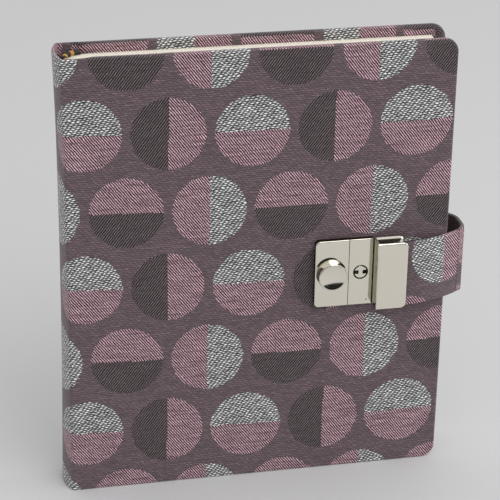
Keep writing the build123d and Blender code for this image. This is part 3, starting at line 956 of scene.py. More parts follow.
    def turn_over(
        self, points: list, runs: list, faces: list[Face], rim: list[RimPoint], way: int
    ) -> None:
        """Add the cloth that goes over the rim of a face and in under the end papers.

        Args:
            points: the face's corners, which gain those of the turned cloth.
            runs: their places on the unrolled cloth, which grow alike.
            faces: the faces, which gain those of the turned cloth.
            rim: the rim of the face.
            way: plus one where the cloth's run grows towards the fore-edge, and else minus one.
        """
        before = [p.number for p in rim]
        profiles = [self.rim_profile(p.column.thick, p.limit) for p in rim]
        for step in range(len(profiles[0])):
            now = []
            for point, profile in zip(rim, profiles):
                out, deep, run, fold = profile[step]
                column = point.column
                wave = abs(math.sin(2 * self.pleats * column.corner))
                rise = fold * self.pleat_rise * wave if 0 < column.corner < QUARTER else 0.0
                x, y, z = points[point.number]
                u, v = runs[point.number]
                aside, inwards = point.out * out, deep + rise
                x += column.along[0] * aside + column.inward[0] * inwards
                y += column.along[1] * aside + column.inward[1] * inwards
                now.append(len(points))
                points.append((x, y, z + point.up * out))
                runs.append((u + way * point.out * run, v + point.up * run))
            for i in range(len(rim) - 1):
                faces.append((before[i], now[i], now[i + 1], before[i + 1]))
            before = now

    def skin(self, name: str, columns: list[SkinColumn], seen_from_front: bool) -> Piece:
        """Build the cloth over a run of columns.

        Args:
            name: the piece's name.
            columns: its columns, in order along the cloth.
            seen_from_front: whether the columns run to the right on the outside.

        Returns:
            A closed piece with the cloth's thickness.
        """
        points, runs = [], []
        for column in columns:
            for z in self.row_heights(*self.ends(column)):
                points.append((*column.place, z))
                runs.append((column.run, z))
        rows = len(points) // len(columns)
        faces = grid(len(columns), rows)
        self.turn_over(points, runs, faces, self.rim(columns, rows), 1 if seen_from_front else -1)
        if not seen_from_front:
            faces = [tuple(reversed(face)) for face in faces]
        piece = new_piece(name, points, faces, runs)
        weld(piece)
        thicken(piece, self.sheet)
        crease(piece)
        return piece

    def declare(self, piece: Piece, columns: list[SkinColumn], *under: str) -> None:
        """Work out how far the turn-in reaches round a cover, without using it.

        Args:
            piece: the skin; not used.
            columns: its columns; not used.
            under: what it is stretched over; not used.
        """
        turned = self.rim_profile(self.plan.cover, self.turn_in)[-1][2]

    def spine_card(self) -> None:
        """Line the spine with its card, drawn in as the cloth is."""
        low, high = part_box("spine_card")
        columns = self.spine_columns(self.sheet + self.card_gap)
        heights = [low.z + (high.z - low.z) * k / self.card_rows for k in range(self.card_rows + 1)]
        points = [(*column.place, z) for column in columns for z in heights]
        faces = [tuple(reversed(face)) for face in grid(len(columns), len(heights))]
        piece = new_piece("spine_liner", points, faces)
        thicken(piece, self.card)
        crease(piece)
        self.draw_in(piece)
        dress(piece, self.card_finish, Slot.CARD, "spine_card")
        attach(piece, Body.BLOCK.value)

    def build(self) -> None:
        """Make the front cover's cloth, that of the spine and the back cover, and the spine's card."""
        plan = self.plan
        columns = self.cover_columns(True)
        front = self.skin("case_cloth_front", columns, True)
        dress(front, self.finish, Slot.CLOTH, "front_cover_cloth", "front_joint_cloth")
        self.declare(front, columns, "front_board")
        seam = plan.joint + self.seam_past_joint
        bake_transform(front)
        first = SkinColumn((seam, plan.front), (0, 1), (1, 0), seam - plan.left, self.thickness(seam))
        columns = [first, *self.spine_columns(), *self.cover_columns(False)]
        back = self.skin("case_cloth_spine_and_back", columns, False)
        self.draw_in(back)
        dress(back, self.finish, Slot.CLOTH, "spine_cloth", "back_joint_cloth", "back_cover_cloth")
        self.declare(back, columns, "back_board", "spine_liner")
        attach(back, Body.BLOCK.value)
        self.spine_card()


@dataclass
class Strap:
    """The strap round the fore-edge: cloth over a stiff core, from the back cover into the hasp.

    Its middle line has three bends, of back_radius, side_radius and front_radius, and slopes by slope_deg
    between the last two. It lies forward and outward of the solid, its upper edge is lowered, and it
    climbs away from the hasp between lowest and highest. trim narrows its end in the hasp. The dot of
    dot_column and dot_row lies dot_from_fore_edge before the cover's edge and dot_above_middle above the
    strap's middle. The painted shade inside the strap starts shade_past_edge thicknesses past the edges.
    bend and bend_way are not used.
    """

    plan: Plan
    finish: Finish
    cloth: JacquardCloth
    # painted shade for the strap's inside
    inside_shade: Finish
    slope_deg: float = 32.0
    back_radius: float = 7.2 * MM
    side_radius: float = 6.5 * MM
    front_radius: float = 45.0 * MM
    forward: float = 0.8 * MM
    outward: float = 0.2 * MM
    lowered: float = 1.55 * MM
    climb: float = 0.048
    level_at: float = 28.0 * MM
    highest: float = 0.6 * MM
    lowest: float = -1.0 * MM
    edge_clear: float = 0.35 * MM
    thick: float = 1.6 * MM
    round_edge: float = 0.7 * MM
    edge_steps: int = 5
    step_deg: float = 5.0
    least_steps: int = 6
    trim: float = 2.3 * MM
    trim_length: float = 0.05 * MM
    shoulder: float = 0.3 * MM
    tucked: float = 1.0 * MM
    dot_from_fore_edge: float = 0.9 * MM
    dot_above_middle: float = 6.97 * MM
    dot_column: float = 1.5
    dot_row: float = 2.0
    shade_past_edge: float = 0.75
    bend: float = 2.4 * MM
    bend_way: tuple[float, float, float] = (0.4, -0.9, 0.0)

    def route(self) -> list[tuple[Vector, float]]:
        """Corners of the strap's middle line in plan, from the back cover.

        Returns:
            The corners, each with the radius of its bend.
        """
        plan, half = self.plan, self.thick / 2
        low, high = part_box("strap_cloth")
        side, front = high.x - half + self.outward, low.y + half - self.forward
        slope = math.radians(self.slope_deg)
        at_edge = plan.front - (half + self.edge_clear) / math.cos(slope)
        turn_x = plan.reach - (at_edge - front) / math.tan(slope)
        side_y = front + (side - turn_x) * math.tan(slope)
        return [
            (Vector((plan.reach - self.tucked, plan.back - half)), 0.0),
            (Vector((side, plan.back - half)), self.back_radius),
            (Vector((side, side_y)), self.side_radius),
            (Vector((turn_x, front)), self.front_radius),
            (Vector((low.x, front)), 0.0),
        ]

    def line(self) -> list[tuple[Vector, Vector, float]]:
        """Points along the strap's middle line.

        Returns:
            The points, each with the way outwards in plan and half of the strap's width there.
        """
        low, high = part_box("strap_cloth")
        wide = (high.z - low.z - self.lowered) / 2
        route = self.route()
        placed = [(route[0][0], Vector((0.0, 1.0)), wide)]
        for (before, _), (corner, radius), (after, _) in zip(route, route[1:], route[2:]):
            come, go = (corner - before).normalized(), (after - corner).normalized()
            turn = math.atan2(come.x * go.y - come.y * go.x, come.dot(go))
            start = corner - come * radius * math.tan(abs(turn) / 2)
            outward = Vector((-come.y, come.x))
            steps = max(self.least_steps, int(abs(math.degrees(turn)) / self.step_deg))
            for i in range(steps + 1):
                swing = turn * i / steps
                arm = outward * math.cos(swing) + Vector((-outward.y, outward.x)) * math.sin(swing)
                placed.append((start + (arm - outward) * radius, arm, wide))
        end, out, _ = placed[-1]
        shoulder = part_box("hasp_shell")[1].x + self.shoulder
        narrow = wide - self.trim
        for x, half in ((shoulder, wide), (shoulder - self.trim_length, narrow), (low.x, narrow)):
            placed.append((Vector((x, end.y)), out, half))
        return placed

    def section(self, half_width: float) -> list[tuple[float, float, float]]:
        """The strap's cross-section.

        Args:
            half_width: half of the strap's width there.

        Returns:
            Points round it, as how far out, how high, and the run of cloth from the outside's middle.
        """
        half, radius, steps = self.thick / 2, self.round_edge, self.edge_steps
        loop = [(-half, 0.0)]
        for out_sign, up_sign, from_flat in ((-1, 1, True), (1, 1, False), (1, -1, True), (-1, -1, False)):
            for i in range(steps + 1):
                turn = QUARTER * (i if from_flat else steps - i) / steps
                out = half - radius + radius * math.cos(turn)
                up = half_width - radius + radius * math.sin(turn)
                loop.append((out_sign * out, up_sign * up))
        loop.append((-half, 0.0))
        lengths = [0.0]
        for (a, b), (c, d) in zip(loop, loop[1:]):
            lengths.append(lengths[-1] + math.hypot(c - a, d - b))
        return [(out, up, lengths[-1] / 2 - run) for (out, up), run in zip(loop, lengths)]

    def shade_inside(self, piece: Piece, from_middle: float, wide: float) -> None:
        """Paint shade on the strap's inside, as a near-black lining.

        Args:
            piece: the strap.
            from_middle: the run up the cloth at the outside's middle.
            wide: half of the strap's width.
        """
        piece.data.materials.append(self.inside_shade)
        runs = piece.data.uv_layers.active.data
        for face in piece.data.polygons:
            wraps = [abs(from_middle - runs[i].uv.y) for i in face.loop_indices]
            if min(wraps) > wide + self.shade_past_edge * self.thick:
                face.material_index = 1

    def build(self) -> None:
        """Make the strap's cloth, bent at the back cover's edge."""
        low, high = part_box("strap_cloth")
        middle = (low.z + high.z - self.lowered) / 2
        dot = self.cloth.dot_middle(self.dot_column, self.dot_row, self.plan.height)
        line = self.line()
        outside = [place + out * self.thick / 2 for place, out, _ in line]
        from_end = [0.0]
        for here, ahead in zip(outside[-2::-1], outside[:0:-1]):
            from_end.insert(0, from_end[0] + (here - ahead).length)
        dot_run = self.plan.reach - self.dot_from_fore_edge - low.x
        points, runs = [], []
        for (place, out, half), run in zip(line, from_end):
            lift = min(max((run - self.level_at) * self.climb, self.lowest), self.highest)
            for off, up, wrap in self.section(half):
                spot = place + out * off
                points.append((spot.x, spot.y, middle + lift + up))
                runs.append((dot.x - (run - dot_run), dot.y - (wrap - self.dot_above_middle)))
        count = len(points) // len(line)
        faces = grid(len(line), count)
        faces.append(tuple(range(count - 1)))
        faces.append(tuple(reversed(range((len(line) - 1) * count, len(line) * count - 1))))
        piece = new_piece("strap_cover", points, faces, runs)
        weld(piece, face_out=True)
        crease(piece)
        dress(piece, self.finish, Slot.CLOTH, "strap_cloth", "strap_bend", "strap_core")
        self.shade_inside(piece, dot.y + self.dot_above_middle, (high.z - low.z - self.lowered) / 2)
        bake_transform(piece)


class TreeBuilder:
    """A geometry tree with named inputs, run on an empty piece for each result."""

    def __init__(self, name: str) -> None:
        """Start an empty tree with a geometry output.

        Args:
            name: the tree's name.
        """
        self.tree = bpy.data.node_groups.new(name, "GeometryNodeTree")
        self.tree.interface.new_socket("Geometry", in_out="OUTPUT", socket_type="NodeSocketGeometry")
        self.kinds: dict[str, str] = {}

    def take(self, **kinds: str) -> dict[str, Socket]:
        """Add named inputs.

        Args:
            kinds: for each input, Float, Int or Material.

        Returns:
            The inputs' sockets by name.
        """
        for name, kind in kinds.items():
            made = self.tree.interface.new_socket(name, in_out="INPUT", socket_type=f"NodeSocket{kind}")
            self.kinds[name] = made.identifier
        return dict(add_node(self.tree, "NodeGroupInput").outputs.items())

    def give(self, instances: Socket, finish: Socket) -> None:
        """Make the tree's instances real, set their material, and link them to the output.

        Args:
            instances: what the tree makes.
            finish: the input that holds the material.
        """
        real = add_node(self.tree, "GeometryNodeRealizeInstances", {0: instances})
        dressed = {"Geometry": real.outputs[0], "Material": finish}
        done = add_node(self.tree, "GeometryNodeSetMaterial", dressed)
        add_node(self.tree, "NodeGroupOutput", {0: done.outputs[0]})

    def run(self, name: str, **values: object) -> Piece:
        """Run the tree.

        Args:
            name: the new piece's name.
            values: the inputs' values by name.

        Returns:
            A plain mesh piece.
        """
        piece = new_piece(name, [], [])
        modifier = piece.modifiers.new("tree", "NODES")
        modifier.node_group = self.tree
        for key, value in values.items():
            modifier[self.kinds[key]] = value
        settle(piece)
        smooth(piece)
        return piece


@dataclass
class TextBlock:
    """The leaves of the diary: thin sheets, a little uneven at their edges.

    leaf_share is how much of the pitch a leaf fills, ragged how far edges differ, back_radius the round
    of the block's back and back_set how far its middle lies past the joint. joint_lap is how far the
    end paper's joint laps on to the block.
    """

    finish: Finish
    end_finish: Finish
    leaves_per_section: int = 5
    leaf_share: float = 0.9
    leaf_columns: int = 72
    ragged: float = 0.12 * MM
    back_radius: float = 7.2 * MM
    back_set: float = 1.2 * MM
    bend: float = 14.0 * MM
    flyleaf_bend: float = 14.0 * MM
    flyleaf_steps: int = 60
    joint_lap: float = 0.75 * MM
    joint_steps: int = 24

    def tree(self) -> TreeBuilder:
        """Build the tree that stacks leaves.

        Returns:
            The tree, ready to run.
        """
        builder = TreeBuilder("leaf_stack")
        sizes = (
            "first", "pitch", "thick", "left", "right", "low", "high", "round", "mid_x", "mid_y", "ragged",
        )
        kinds = {name: "Float" for name in sizes} | {"leaves": "Int", "seed": "Int", "paper": "Material"}
        given = builder.take(**kinds)
        tree = builder.tree
        start = add_node(tree, "ShaderNodeCombineXYZ", {1: given["first"]}).outputs[0]
        step = add_node(tree, "ShaderNodeCombineXYZ", {1: given["pitch"]}).outputs[0]
        stations = {"Count": given["leaves"], "Start Location": start, "Offset": step}
        line = add_node(tree, "GeometryNodeMeshLine", stations, mode="OFFSET")
        spot = add_node(tree, "GeometryNodeInputPosition").outputs[0]
        known = dict(given) | {"y": add_node(tree, "ShaderNodeSeparateXYZ", {0: spot}).outputs[1]}
        for number, name in enumerate(("cut_x", "cut_z")):
            seed = add_node(tree, "ShaderNodeMath", {0: given["seed"], 1: float(number)}, operation="ADD")
            span = {2: 0.0, 3: given["ragged"], "Seed": seed.outputs[0]}
            known[name] = add_node(tree, "FunctionNodeRandomValue", span, data_type="FLOAT").outputs[1]
        values = work_out(tree, known, (
            ("off", "SUBTRACT", "y", "mid_y"),
            ("off_square", "MULTIPLY", "off", "off"),
            ("round_square", "MULTIPLY", "round", "round"),
            ("rest", "SUBTRACT", "round_square", "off_square"),
            ("rest_up", "MAXIMUM", "rest", 0.0),
            ("arm", "SQRT", "rest_up"),
            ("curve", "SUBTRACT", "mid_x", "arm"),
            ("from_x", "MAXIMUM", "curve", "left"),
            ("to_x", "SUBTRACT", "right", "cut_x"),
            ("to_z", "SUBTRACT", "high", "cut_z"),
            ("wide", "SUBTRACT", "to_x", "from_x"),
            ("tall", "SUBTRACT", "to_z", "low"),
            ("x_sum", "ADD", "from_x", "to_x"),
            ("z_sum", "ADD", "low", "to_z"),
            ("x", "MULTIPLY", "x_sum", 0.5),
            ("z", "MULTIPLY", "z_sum", 0.5),
        ))
        middle = {0: values["x"], 1: values["y"], 2: values["z"]}
        place = add_node(tree, "ShaderNodeCombineXYZ", middle).outputs[0]
        extent = {0: values["wide"], 1: given["thick"], 2: values["tall"]}
        scale = add_node(tree, "ShaderNodeCombineXYZ", extent).outputs[0]
        held = add_node(tree, "GeometryNodeCaptureAttribute", {"Geometry": line.outputs["Mesh"]})
        held.capture_items.new("VECTOR", "scale")
        tree.links.new(scale, held.inputs[1])
        moved = add_node(tree, "GeometryNodeSetPosition", {"Geometry": held.outputs[0], "Position": place})
        leaf = add_node(tree, "GeometryNodeMeshCube", {"Vertices X": self.leaf_columns})
        stack = add_node(tree, "GeometryNodeInstanceOnPoints", {
            "Points": moved.outputs[0], "Instance": leaf.outputs["Mesh"], "Scale": held.outputs[1],
        })
        builder.give(stack.outputs[0], given["paper"])
        return builder

    def stack(
        self, builder: TreeBuilder, name: str, sections: list[str], seed: int, from_fold: bool = False
    ) -> Piece:
        """Stack the leaves of some sections.

        Args:
            builder: the leaf tree.
            name: the piece's name.
            sections: the CAD nodes whose space the leaves fill, from front to back.
            seed: the seed of the uneven edges.
            from_fold: whether they start at the sections' edge, short of the block's rounded back.

        Returns:
            The piece, not yet on a body.
        """
        front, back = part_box(sections[0]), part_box(sections[-1])
        count = self.leaves_per_section * len(sections)
        pitch = (back[1].y - front[0].y) / count
        spine_low, spine_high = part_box("spine_cloth")
        piece = builder.run(
            name,
            first=front[0].y + pitch / 2, pitch=pitch, thick=pitch * self.leaf_share, leaves=count,
            left=front[0].x if from_fold else spine_low.x, right=front[1].x,
            low=front[0].z, high=front[1].z, round=self.back_radius, mid_x=spine_high.x + self.back_set,
            mid_y=(spine_low.y + spine_high.y) / 2, ragged=self.ragged, seed=seed, paper=self.finish,
        )
        smooth(piece, False)
        return dress(piece, self.finish, Slot.PAGES, *sections)

    def strip(self, name: str, low: Vector, high: Vector, steps: int) -> Piece:
        """Make a sheet of end paper that can bend along its width.

        Args:
            name: the piece's name.
            low: its lowest corner.
            high: its highest corner.
            steps: how often it is divided.

        Returns:
            The sheet, not yet dressed.
        """
        points = []
        for i in range(steps + 1):
            x = low.x + (high.x - low.x) * i / steps
            points += [(x, low.y, low.z), (x, low.y, high.z), (x, high.y, high.z), (x, high.y, low.z)]
        faces = grid(steps + 1, 4, ring=True)
        faces += [(0, 1, 2, 3), tuple(4 * steps + k for k in (3, 2, 1, 0))]
        piece = new_piece(name, points, faces)
        weld(piece, face_out=True)
        return piece

    def flyleaf(self) -> None:
        """Make the free front leaf, divided along its width, but left flat at its fold."""
        low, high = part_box("front_flyleaf")
        piece = self.strip("front_free_leaf", low, high, self.flyleaf_steps)
        smooth(piece, False)
        dress(piece, self.end_finish, Slot.END_PAPER, "front_flyleaf")
        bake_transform(piece)

    def paper_joint(self) -> None:
        """Make the strip of end paper between the pastedown and the block, divided along its width but left
        flat.
        """
        low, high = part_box("front_pastedown")
        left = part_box("front_joint_cloth")[0].x - self.joint_lap
        first, last = Vector((left, low.y, low.z)), Vector((low.x, high.y, high.z))
        piece = self.strip("end_paper_joint", first, last, self.joint_steps)
        crease(piece)
        dress(piece, self.end_finish, Slot.END_PAPER)
        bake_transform(piece)

    def build(self) -> None:
        """Make every leaf."""
        builder = self.tree()
        folds = [f"section_{n}_fold" for n in (1, 2, 3)]
        turning = [f"section_{n}_leaves" for n in (1, 2, 3)]
        fixed = [f"section_{n}" for n in range(4, 10)]
        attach(self.stack(builder, "front_folds", folds, seed=3), Body.BLOCK.value)
        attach(self.stack(builder, "back_leaves", fixed, seed=11), Body.BLOCK.value)
        leaves = self.stack(builder, "front_leaves", turning, seed=7, from_fold=True)
        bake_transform(leaves)
        self.flyleaf()
        self.paper_joint()


@dataclass
class Headbands:
    """Striped silk wound round the beads at the head and the tail of the block's back.

    wraps is how often the thread goes round a bead, and wound the angle of the block's back over which
    it does. black_wraps and gold_wraps alternate, and a band starts black_first wraps into a black stripe.
    """

    black: Finish
    gold: Finish
    wraps: int = 30
    wound: float = math.radians(146)
    black_wraps: int = 5
    gold_wraps: int = 3
    black_first: int = 3
    bead: float = 0.9 * MM
    thread: float = 0.27 * MM
    back_set: float = 1.2 * MM
    arc_points: int = 64
    wrap_points: int = 20
    thread_sides: int = 8

    def tree(self) -> TreeBuilder:
        """Build the tree that winds the thread of one colour round a bead.

        Returns:
            The tree, ready to run.
        """
        builder = TreeBuilder("thread_wraps")
        given = builder.take(
            arc="Float", start="Float", sweep="Float", bead="Float", thread="Float",
            x="Float", y="Float", z="Float", wraps="Int", period="Int", shift="Int", count="Int",
            silk="Material",
        )
        tree = builder.tree
        arc = add_node(tree, "GeometryNodeCurveArc", {
            "Resolution": self.arc_points, "Radius": given["arc"],
            "Start Angle": given["start"], "Sweep Angle": given["sweep"],
        }, mode="RADIUS")
        place = add_node(tree, "ShaderNodeCombineXYZ", {0: given["x"], 1: given["y"], 2: given["z"]})
        shifted = {"Geometry": arc.outputs["Curve"], "Translation": place.outputs[0]}
        laid = add_node(tree, "GeometryNodeTransform", shifted).outputs[0]
        stations = {"Curve": laid, "Count": given["wraps"]}
        points = add_node(tree, "GeometryNodeCurveToPoints", stations, mode="COUNT")
        bead = {"Resolution": self.wrap_points, "Radius": given["bead"]}
        ring = add_node(tree, "GeometryNodeCurvePrimitiveCircle", bead).outputs["Curve"]
        thread = {"Resolution": self.thread_sides, "Radius": given["thread"]}
        wire = add_node(tree, "GeometryNodeCurvePrimitiveCircle", thread).outputs["Curve"]
        wrap = add_node(tree, "GeometryNodeCurveToMesh", {"Curve": ring, "Profile Curve": wire})
        facing = {"Vector": points.outputs["Tangent"]}
        turn = add_node(tree, "FunctionNodeAlignRotationToVector", facing, axis="Z")
        index = add_node(tree, "GeometryNodeInputIndex").outputs[0]
        values = work_out(tree, dict(given) | {"index": index}, (
            ("shifted", "ADD", "index", "shift"),
            ("part", "FLOORED_MODULO", "shifted", "period"),
            ("chosen", "LESS_THAN", "part", "count"),
        ))
        wound = add_node(tree, "GeometryNodeInstanceOnPoints", {
            "Points": points.outputs["Points"], "Selection": values["chosen"],
            "Instance": wrap.outputs["Mesh"], "Rotation": turn.outputs[0],
        })
        builder.give(wound.outputs[0], given["silk"])
        return builder

    def build(self, plan: Plan) -> None:
        """Wind both bands.

        Args:
            plan: the diary's places.
        """
        builder, bead = self.tree(), self.bead
        head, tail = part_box("head_band"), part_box("tail_band")
        middle = plan.joint + self.back_set
        period = self.black_wraps + self.gold_wraps
        for end, z in (("head", head[1].z - bead), ("tail", tail[0].z + bead)):
            for colour, silk, shift, count in (
                ("black", self.black, self.black_first, self.black_wraps),
                ("gold", self.gold, self.black_first - self.black_wraps, self.gold_wraps),
            ):
                piece = builder.run(
                    f"{end}_wraps_{colour}",
                    arc=middle - head[0].x - bead, start=math.pi - self.wound / 2, sweep=self.wound,
                    bead=bead - self.thread / 2, thread=self.thread, x=middle, y=plan.middle, z=z,
                    wraps=self.wraps, period=period, shift=shift, count=count, silk=silk,
                )
                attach(piece, Body.BLOCK.value)
                LOG.info("%s: %d faces, wound on its bead", piece.name, len(piece.data.polygons))


@dataclass
class LockMetal:
    """The metal parts: slide, knob, keyhole case, key plug, hasp and the spring behind the slide.

    bevel is the round of a plate's edges. side_below and left_above are the parts of a face's normal, to
    the front and to the left, that tell a plate's sides and its left side, which take painted shade. The
    knob's sizes are its top's radius, its rim's round and the dish in its face, and its foot stands a
    little proud of its side. The groove and the slots are those of the key plug, with a film of painted
    shade in them. lip is the size of the bevel inside the hasp's back plate, lip_seat how far it lies
    before the hasp's back, lip_corner the radius of the plate's corners, and lip_section the bevel's
    outline, in lips.
    """

    finish: Finish
    # painted shade for the keyhole's groove and slots
    keyhole_shade: Finish
    steel: Finish
    # painted shade round the sides of the lock's plates
    side_shade: Finish
    # the hasp's left side: rougher nickel, with painted shade in its colour
    dull: Finish
    merge: float = 1e-6
    flat_deg: float = 1.0
    bevel: float = 0.12 * MM
    bevel_steps: int = 3
    bevel_from_deg: float = 35.0
    flat_weight: int = 100
    side_below: float = 0.3
    left_above: float = 0.9
    knob_top: float = 5.6 * MM
    knob_edge: float = 0.45 * MM
    knob_dish: float = 0.6 * MM
    knob_foot: float = 0.45 * MM
    knob_foot_round: float = 0.12 * MM
    knob_foot_inset: float = 0.1 * MM
    knob_side: float = 0.6 * MM
    knob_side_inset: float = 0.08 * MM
    knob_round: int = 96
    knob_edge_steps: int = 7
    knob_face_steps: int = 20
    groove_inner: float = 2.38 * MM
    groove_outer: float = 2.91 * MM
    groove_depth: float = 0.34 * MM
    groove_round: int = 64
    slot_inner: float = 0.82 * MM
    slot_half: float = 0.74 * MM
    slot_depth: float = 0.86 * MM
    shade_film: float = 0.1 * MM
    lip: float = 0.95 * MM
    lip_seat: float = 1.9 * MM
    lip_corner: float = 2.2 * MM
    lip_section: tuple[PlanPoint, ...] = ((0.0, 0.0), (-0.62, -0.78), (-2.3, 0.0))
    lip_sweep: float = math.radians(42)
    lip_steps: int = 12
    lip_crease_deg: float = 50.0
    spring_kept: float = 0.1

    def copied(self, node: str, name: str) -> Piece:
        """Copy a part and merge its faces' corners and the faces that lie in one plane.

        Args:
            node: the CAD node.
            name: the piece's name.

        Returns:
            The copy, not yet dressed.
        """
        piece = bpy.data.objects.new(name, frame["nodes"][node].data.copy())
        bpy.context.scene.collection.objects.link(piece)
        mesh = bmesh.new()
        mesh.from_mesh(piece.data)
        bmesh.ops.remove_doubles(mesh, verts=mesh.verts, dist=self.merge)
        flat = math.radians(self.flat_deg)
        bmesh.ops.dissolve_limit(mesh, angle_limit=flat, verts=mesh.verts, edges=mesh.edges)
        mesh.to_mesh(piece.data)
        mesh.free()
        return piece

    def spring(self) -> None:
        """Copy the bow spring and put it on the front cover, with a mesh of its own."""
        piece = self.copied("bow_spring", "bow_spring_strip")
        dress(piece, self.steel, Slot.STEEL, "bow_spring")
        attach(piece, Body.COVER.value)
        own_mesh(piece)

    def softened(self, node: str, name: str, body: Body) -> Piece:
        """Copy a pressed part and round its sharp edges, as plating leaves them.

        Args:
            node: the CAD node.
            name: the piece's name.
            body: the body that carries it.

        Returns:
            The piece.
        """
        piece = self.copied(node, name)
        edge = piece.modifiers.new("edge", "BEVEL")
        edge.width = self.bevel
        edge.segments = self.bevel_steps
        edge.limit_method = "ANGLE"
        edge.angle_limit = math.radians(self.bevel_from_deg)
        flats = piece.modifiers.new("flats", "WEIGHTED_NORMAL")
        flats.mode = "FACE_AREA"
        flats.weight = self.flat_weight
        smooth(piece)
        settle(piece)
        dress(piece, self.finish, Slot.NICKEL, node)
        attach(piece, body.value)
        return piece

    def shade_sides(self, piece: Piece, finish: Finish, left_only: bool = False) -> None:
        """Paint shade on the sides of a plate, as a darker metal finish.

        Args:
            piece: the plate.
            finish: the darker material, which paints the shade.
            left_only: whether only its left side is shaded.
        """
        piece.data.materials.append(finish)
        for face in piece.data.polygons:
            on_side = abs(face.normal.y) < self.side_below
            if on_side and (face.normal.x < -self.left_above or not left_only):
                face.material_index = 1

    def knob_profile(self, base: float, height: float) -> list[tuple[float, float]]:
        """The knob's outline from its foot to the middle of its dished face.

        Args:
            base: the radius of its foot.
            height: how far it stands out from the slide.

        Returns:
            Radius and rise of each point.
        """
        edge, face = self.knob_edge, self.knob_top - self.knob_edge
        profile = [
            (0.0, 0.0),
            (base - self.knob_foot_inset, 0.0),
            (base, self.knob_foot_round),
            (base, self.knob_foot),
            (base - self.knob_side_inset, self.knob_side),
        ]
        for i in range(self.knob_edge_steps + 1):
            turn = QUARTER * i / self.knob_edge_steps
            profile.append((face + edge * math.cos(turn), height - edge + edge * math.sin(turn)))
        for i in range(self.knob_face_steps - 1, -1, -1):
            share = i / self.knob_face_steps
            profile.append((face * share, height - self.knob_dish * (1 - share**2)))
        return profile

    def knob(self) -> None:
        """Turn the knob: a steep side, a rounded rim and a dished face."""
        low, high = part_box("slide_knob")
        centre = (low + high) / 2
        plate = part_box("slide_shell")[0].y
        profile = self.knob_profile((high.x - low.x) / 2, plate - low.y)
        turns = [TAU * i / self.knob_round for i in range(self.knob_round)]
        points = [
            (centre.x + radius * math.cos(turn), plate - rise, centre.z + radius * math.sin(turn))
            for radius, rise in profile
            for turn in turns
        ]
        piece = new_piece("knob", points, grid(len(profile), self.knob_round, ring=True))
        weld(piece, face_out=True)
        dress(piece, self.finish, Slot.NICKEL, "slide_knob")
        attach(piece, Body.SLIDE.value)

    def keyhole_painted_shade(self) -> None:
        """Paint shade into the plug's groove and on the floors of its key slots, as a thin black film."""
        plug_low, plug_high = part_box("key_plug")
        case_low, case_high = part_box("lock_case")
        x, y, z = (case_low.x + case_high.x) / 2, plug_low.y, (plug_low.z + plug_high.z) / 2
        points, faces, count = [], [], self.groove_round
        for i in range(count):
            turn = TAU * i / count
            for radius in (self.groove_inner, self.groove_outer):
                aside, up = radius * math.cos(turn), radius * math.sin(turn)
                points.append((x + aside, y + self.groove_depth, z + up))
            after = (i + 1) % count
            faces.append((2 * i, 2 * i + 1, 2 * after + 1, 2 * after))
        half, inner, outer = self.slot_half, self.slot_inner, self.groove_inner
        for left, right in ((-outer, -inner), (inner, outer)):
            first = len(points)
            around = ((left, -half), (right, -half), (right, half), (left, half))
            points += [(x + a, y + self.slot_depth, z + b) for a, b in around]
            faces.append(tuple(range(first, first + 4)))
        piece = new_piece("keyhole_shade_film", points, faces)
        thicken(piece, self.shade_film)
        dress(piece, self.keyhole_shade, Slot.STEEL)
        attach(piece, Body.PLUG.value)

    def lips(self) -> None:
        """Bevel the inside of the hasp's back plate along its two level edges, over the strap's end."""
        low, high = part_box("hasp_shell")
        corner, size, seat = self.lip_corner, self.lip, high.y - self.lip_seat
        line = [(low.x + size, 0.0)]
        line += [(high.x - corner, self.lip_sweep * i / self.lip_steps) for i in range(self.lip_steps + 1)]
        count = len(self.lip_section)
        for name, edge, up in (("hasp_lip_above", high.z, 1.0), ("hasp_lip_below", low.z, -1.0)):
            points = []
            for x, turn in line:
                for out, deep in self.lip_section:
                    arm = corner + out * size
                    z = edge + up * (arm * math.cos(turn) - corner)
                    points.append((x + arm * math.sin(turn), seat + deep * size, z))
            faces = grid(len(line), count, ring=True)
            faces += [tuple(range(count)), tuple(range((len(line) - 1) * count, len(line) * count))]
            piece = new_piece(name, points, faces)
            weld(piece, face_out=True)
            crease(piece, self.lip_crease_deg)
            dress(piece, self.finish, Slot.NICKEL)
            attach(piece, Body.STRAP.value)

    def build(self) -> None:
        """Make all metal parts that show, and the spring."""
        # painted shade in the keyhole
        self.keyhole_painted_shade()
        for node, name, body in (
            ("slide_shell", "slide_plate", Body.SLIDE),
            ("lock_case", "keyhole_case", Body.COVER),
        ):
            # the sides of the slide and the keyhole case get painted shade
            self.shade_sides(self.softened(node, name, body), self.side_shade)
        self.softened("key_plug", "keyhole_plug", Body.PLUG)
        # the hasp's left side gets painted shade
        self.shade_sides(self.softened("hasp_shell", "hasp", Body.STRAP), self.dull, left_only=True)
        self.knob()
        self.lips()
        self.spring()


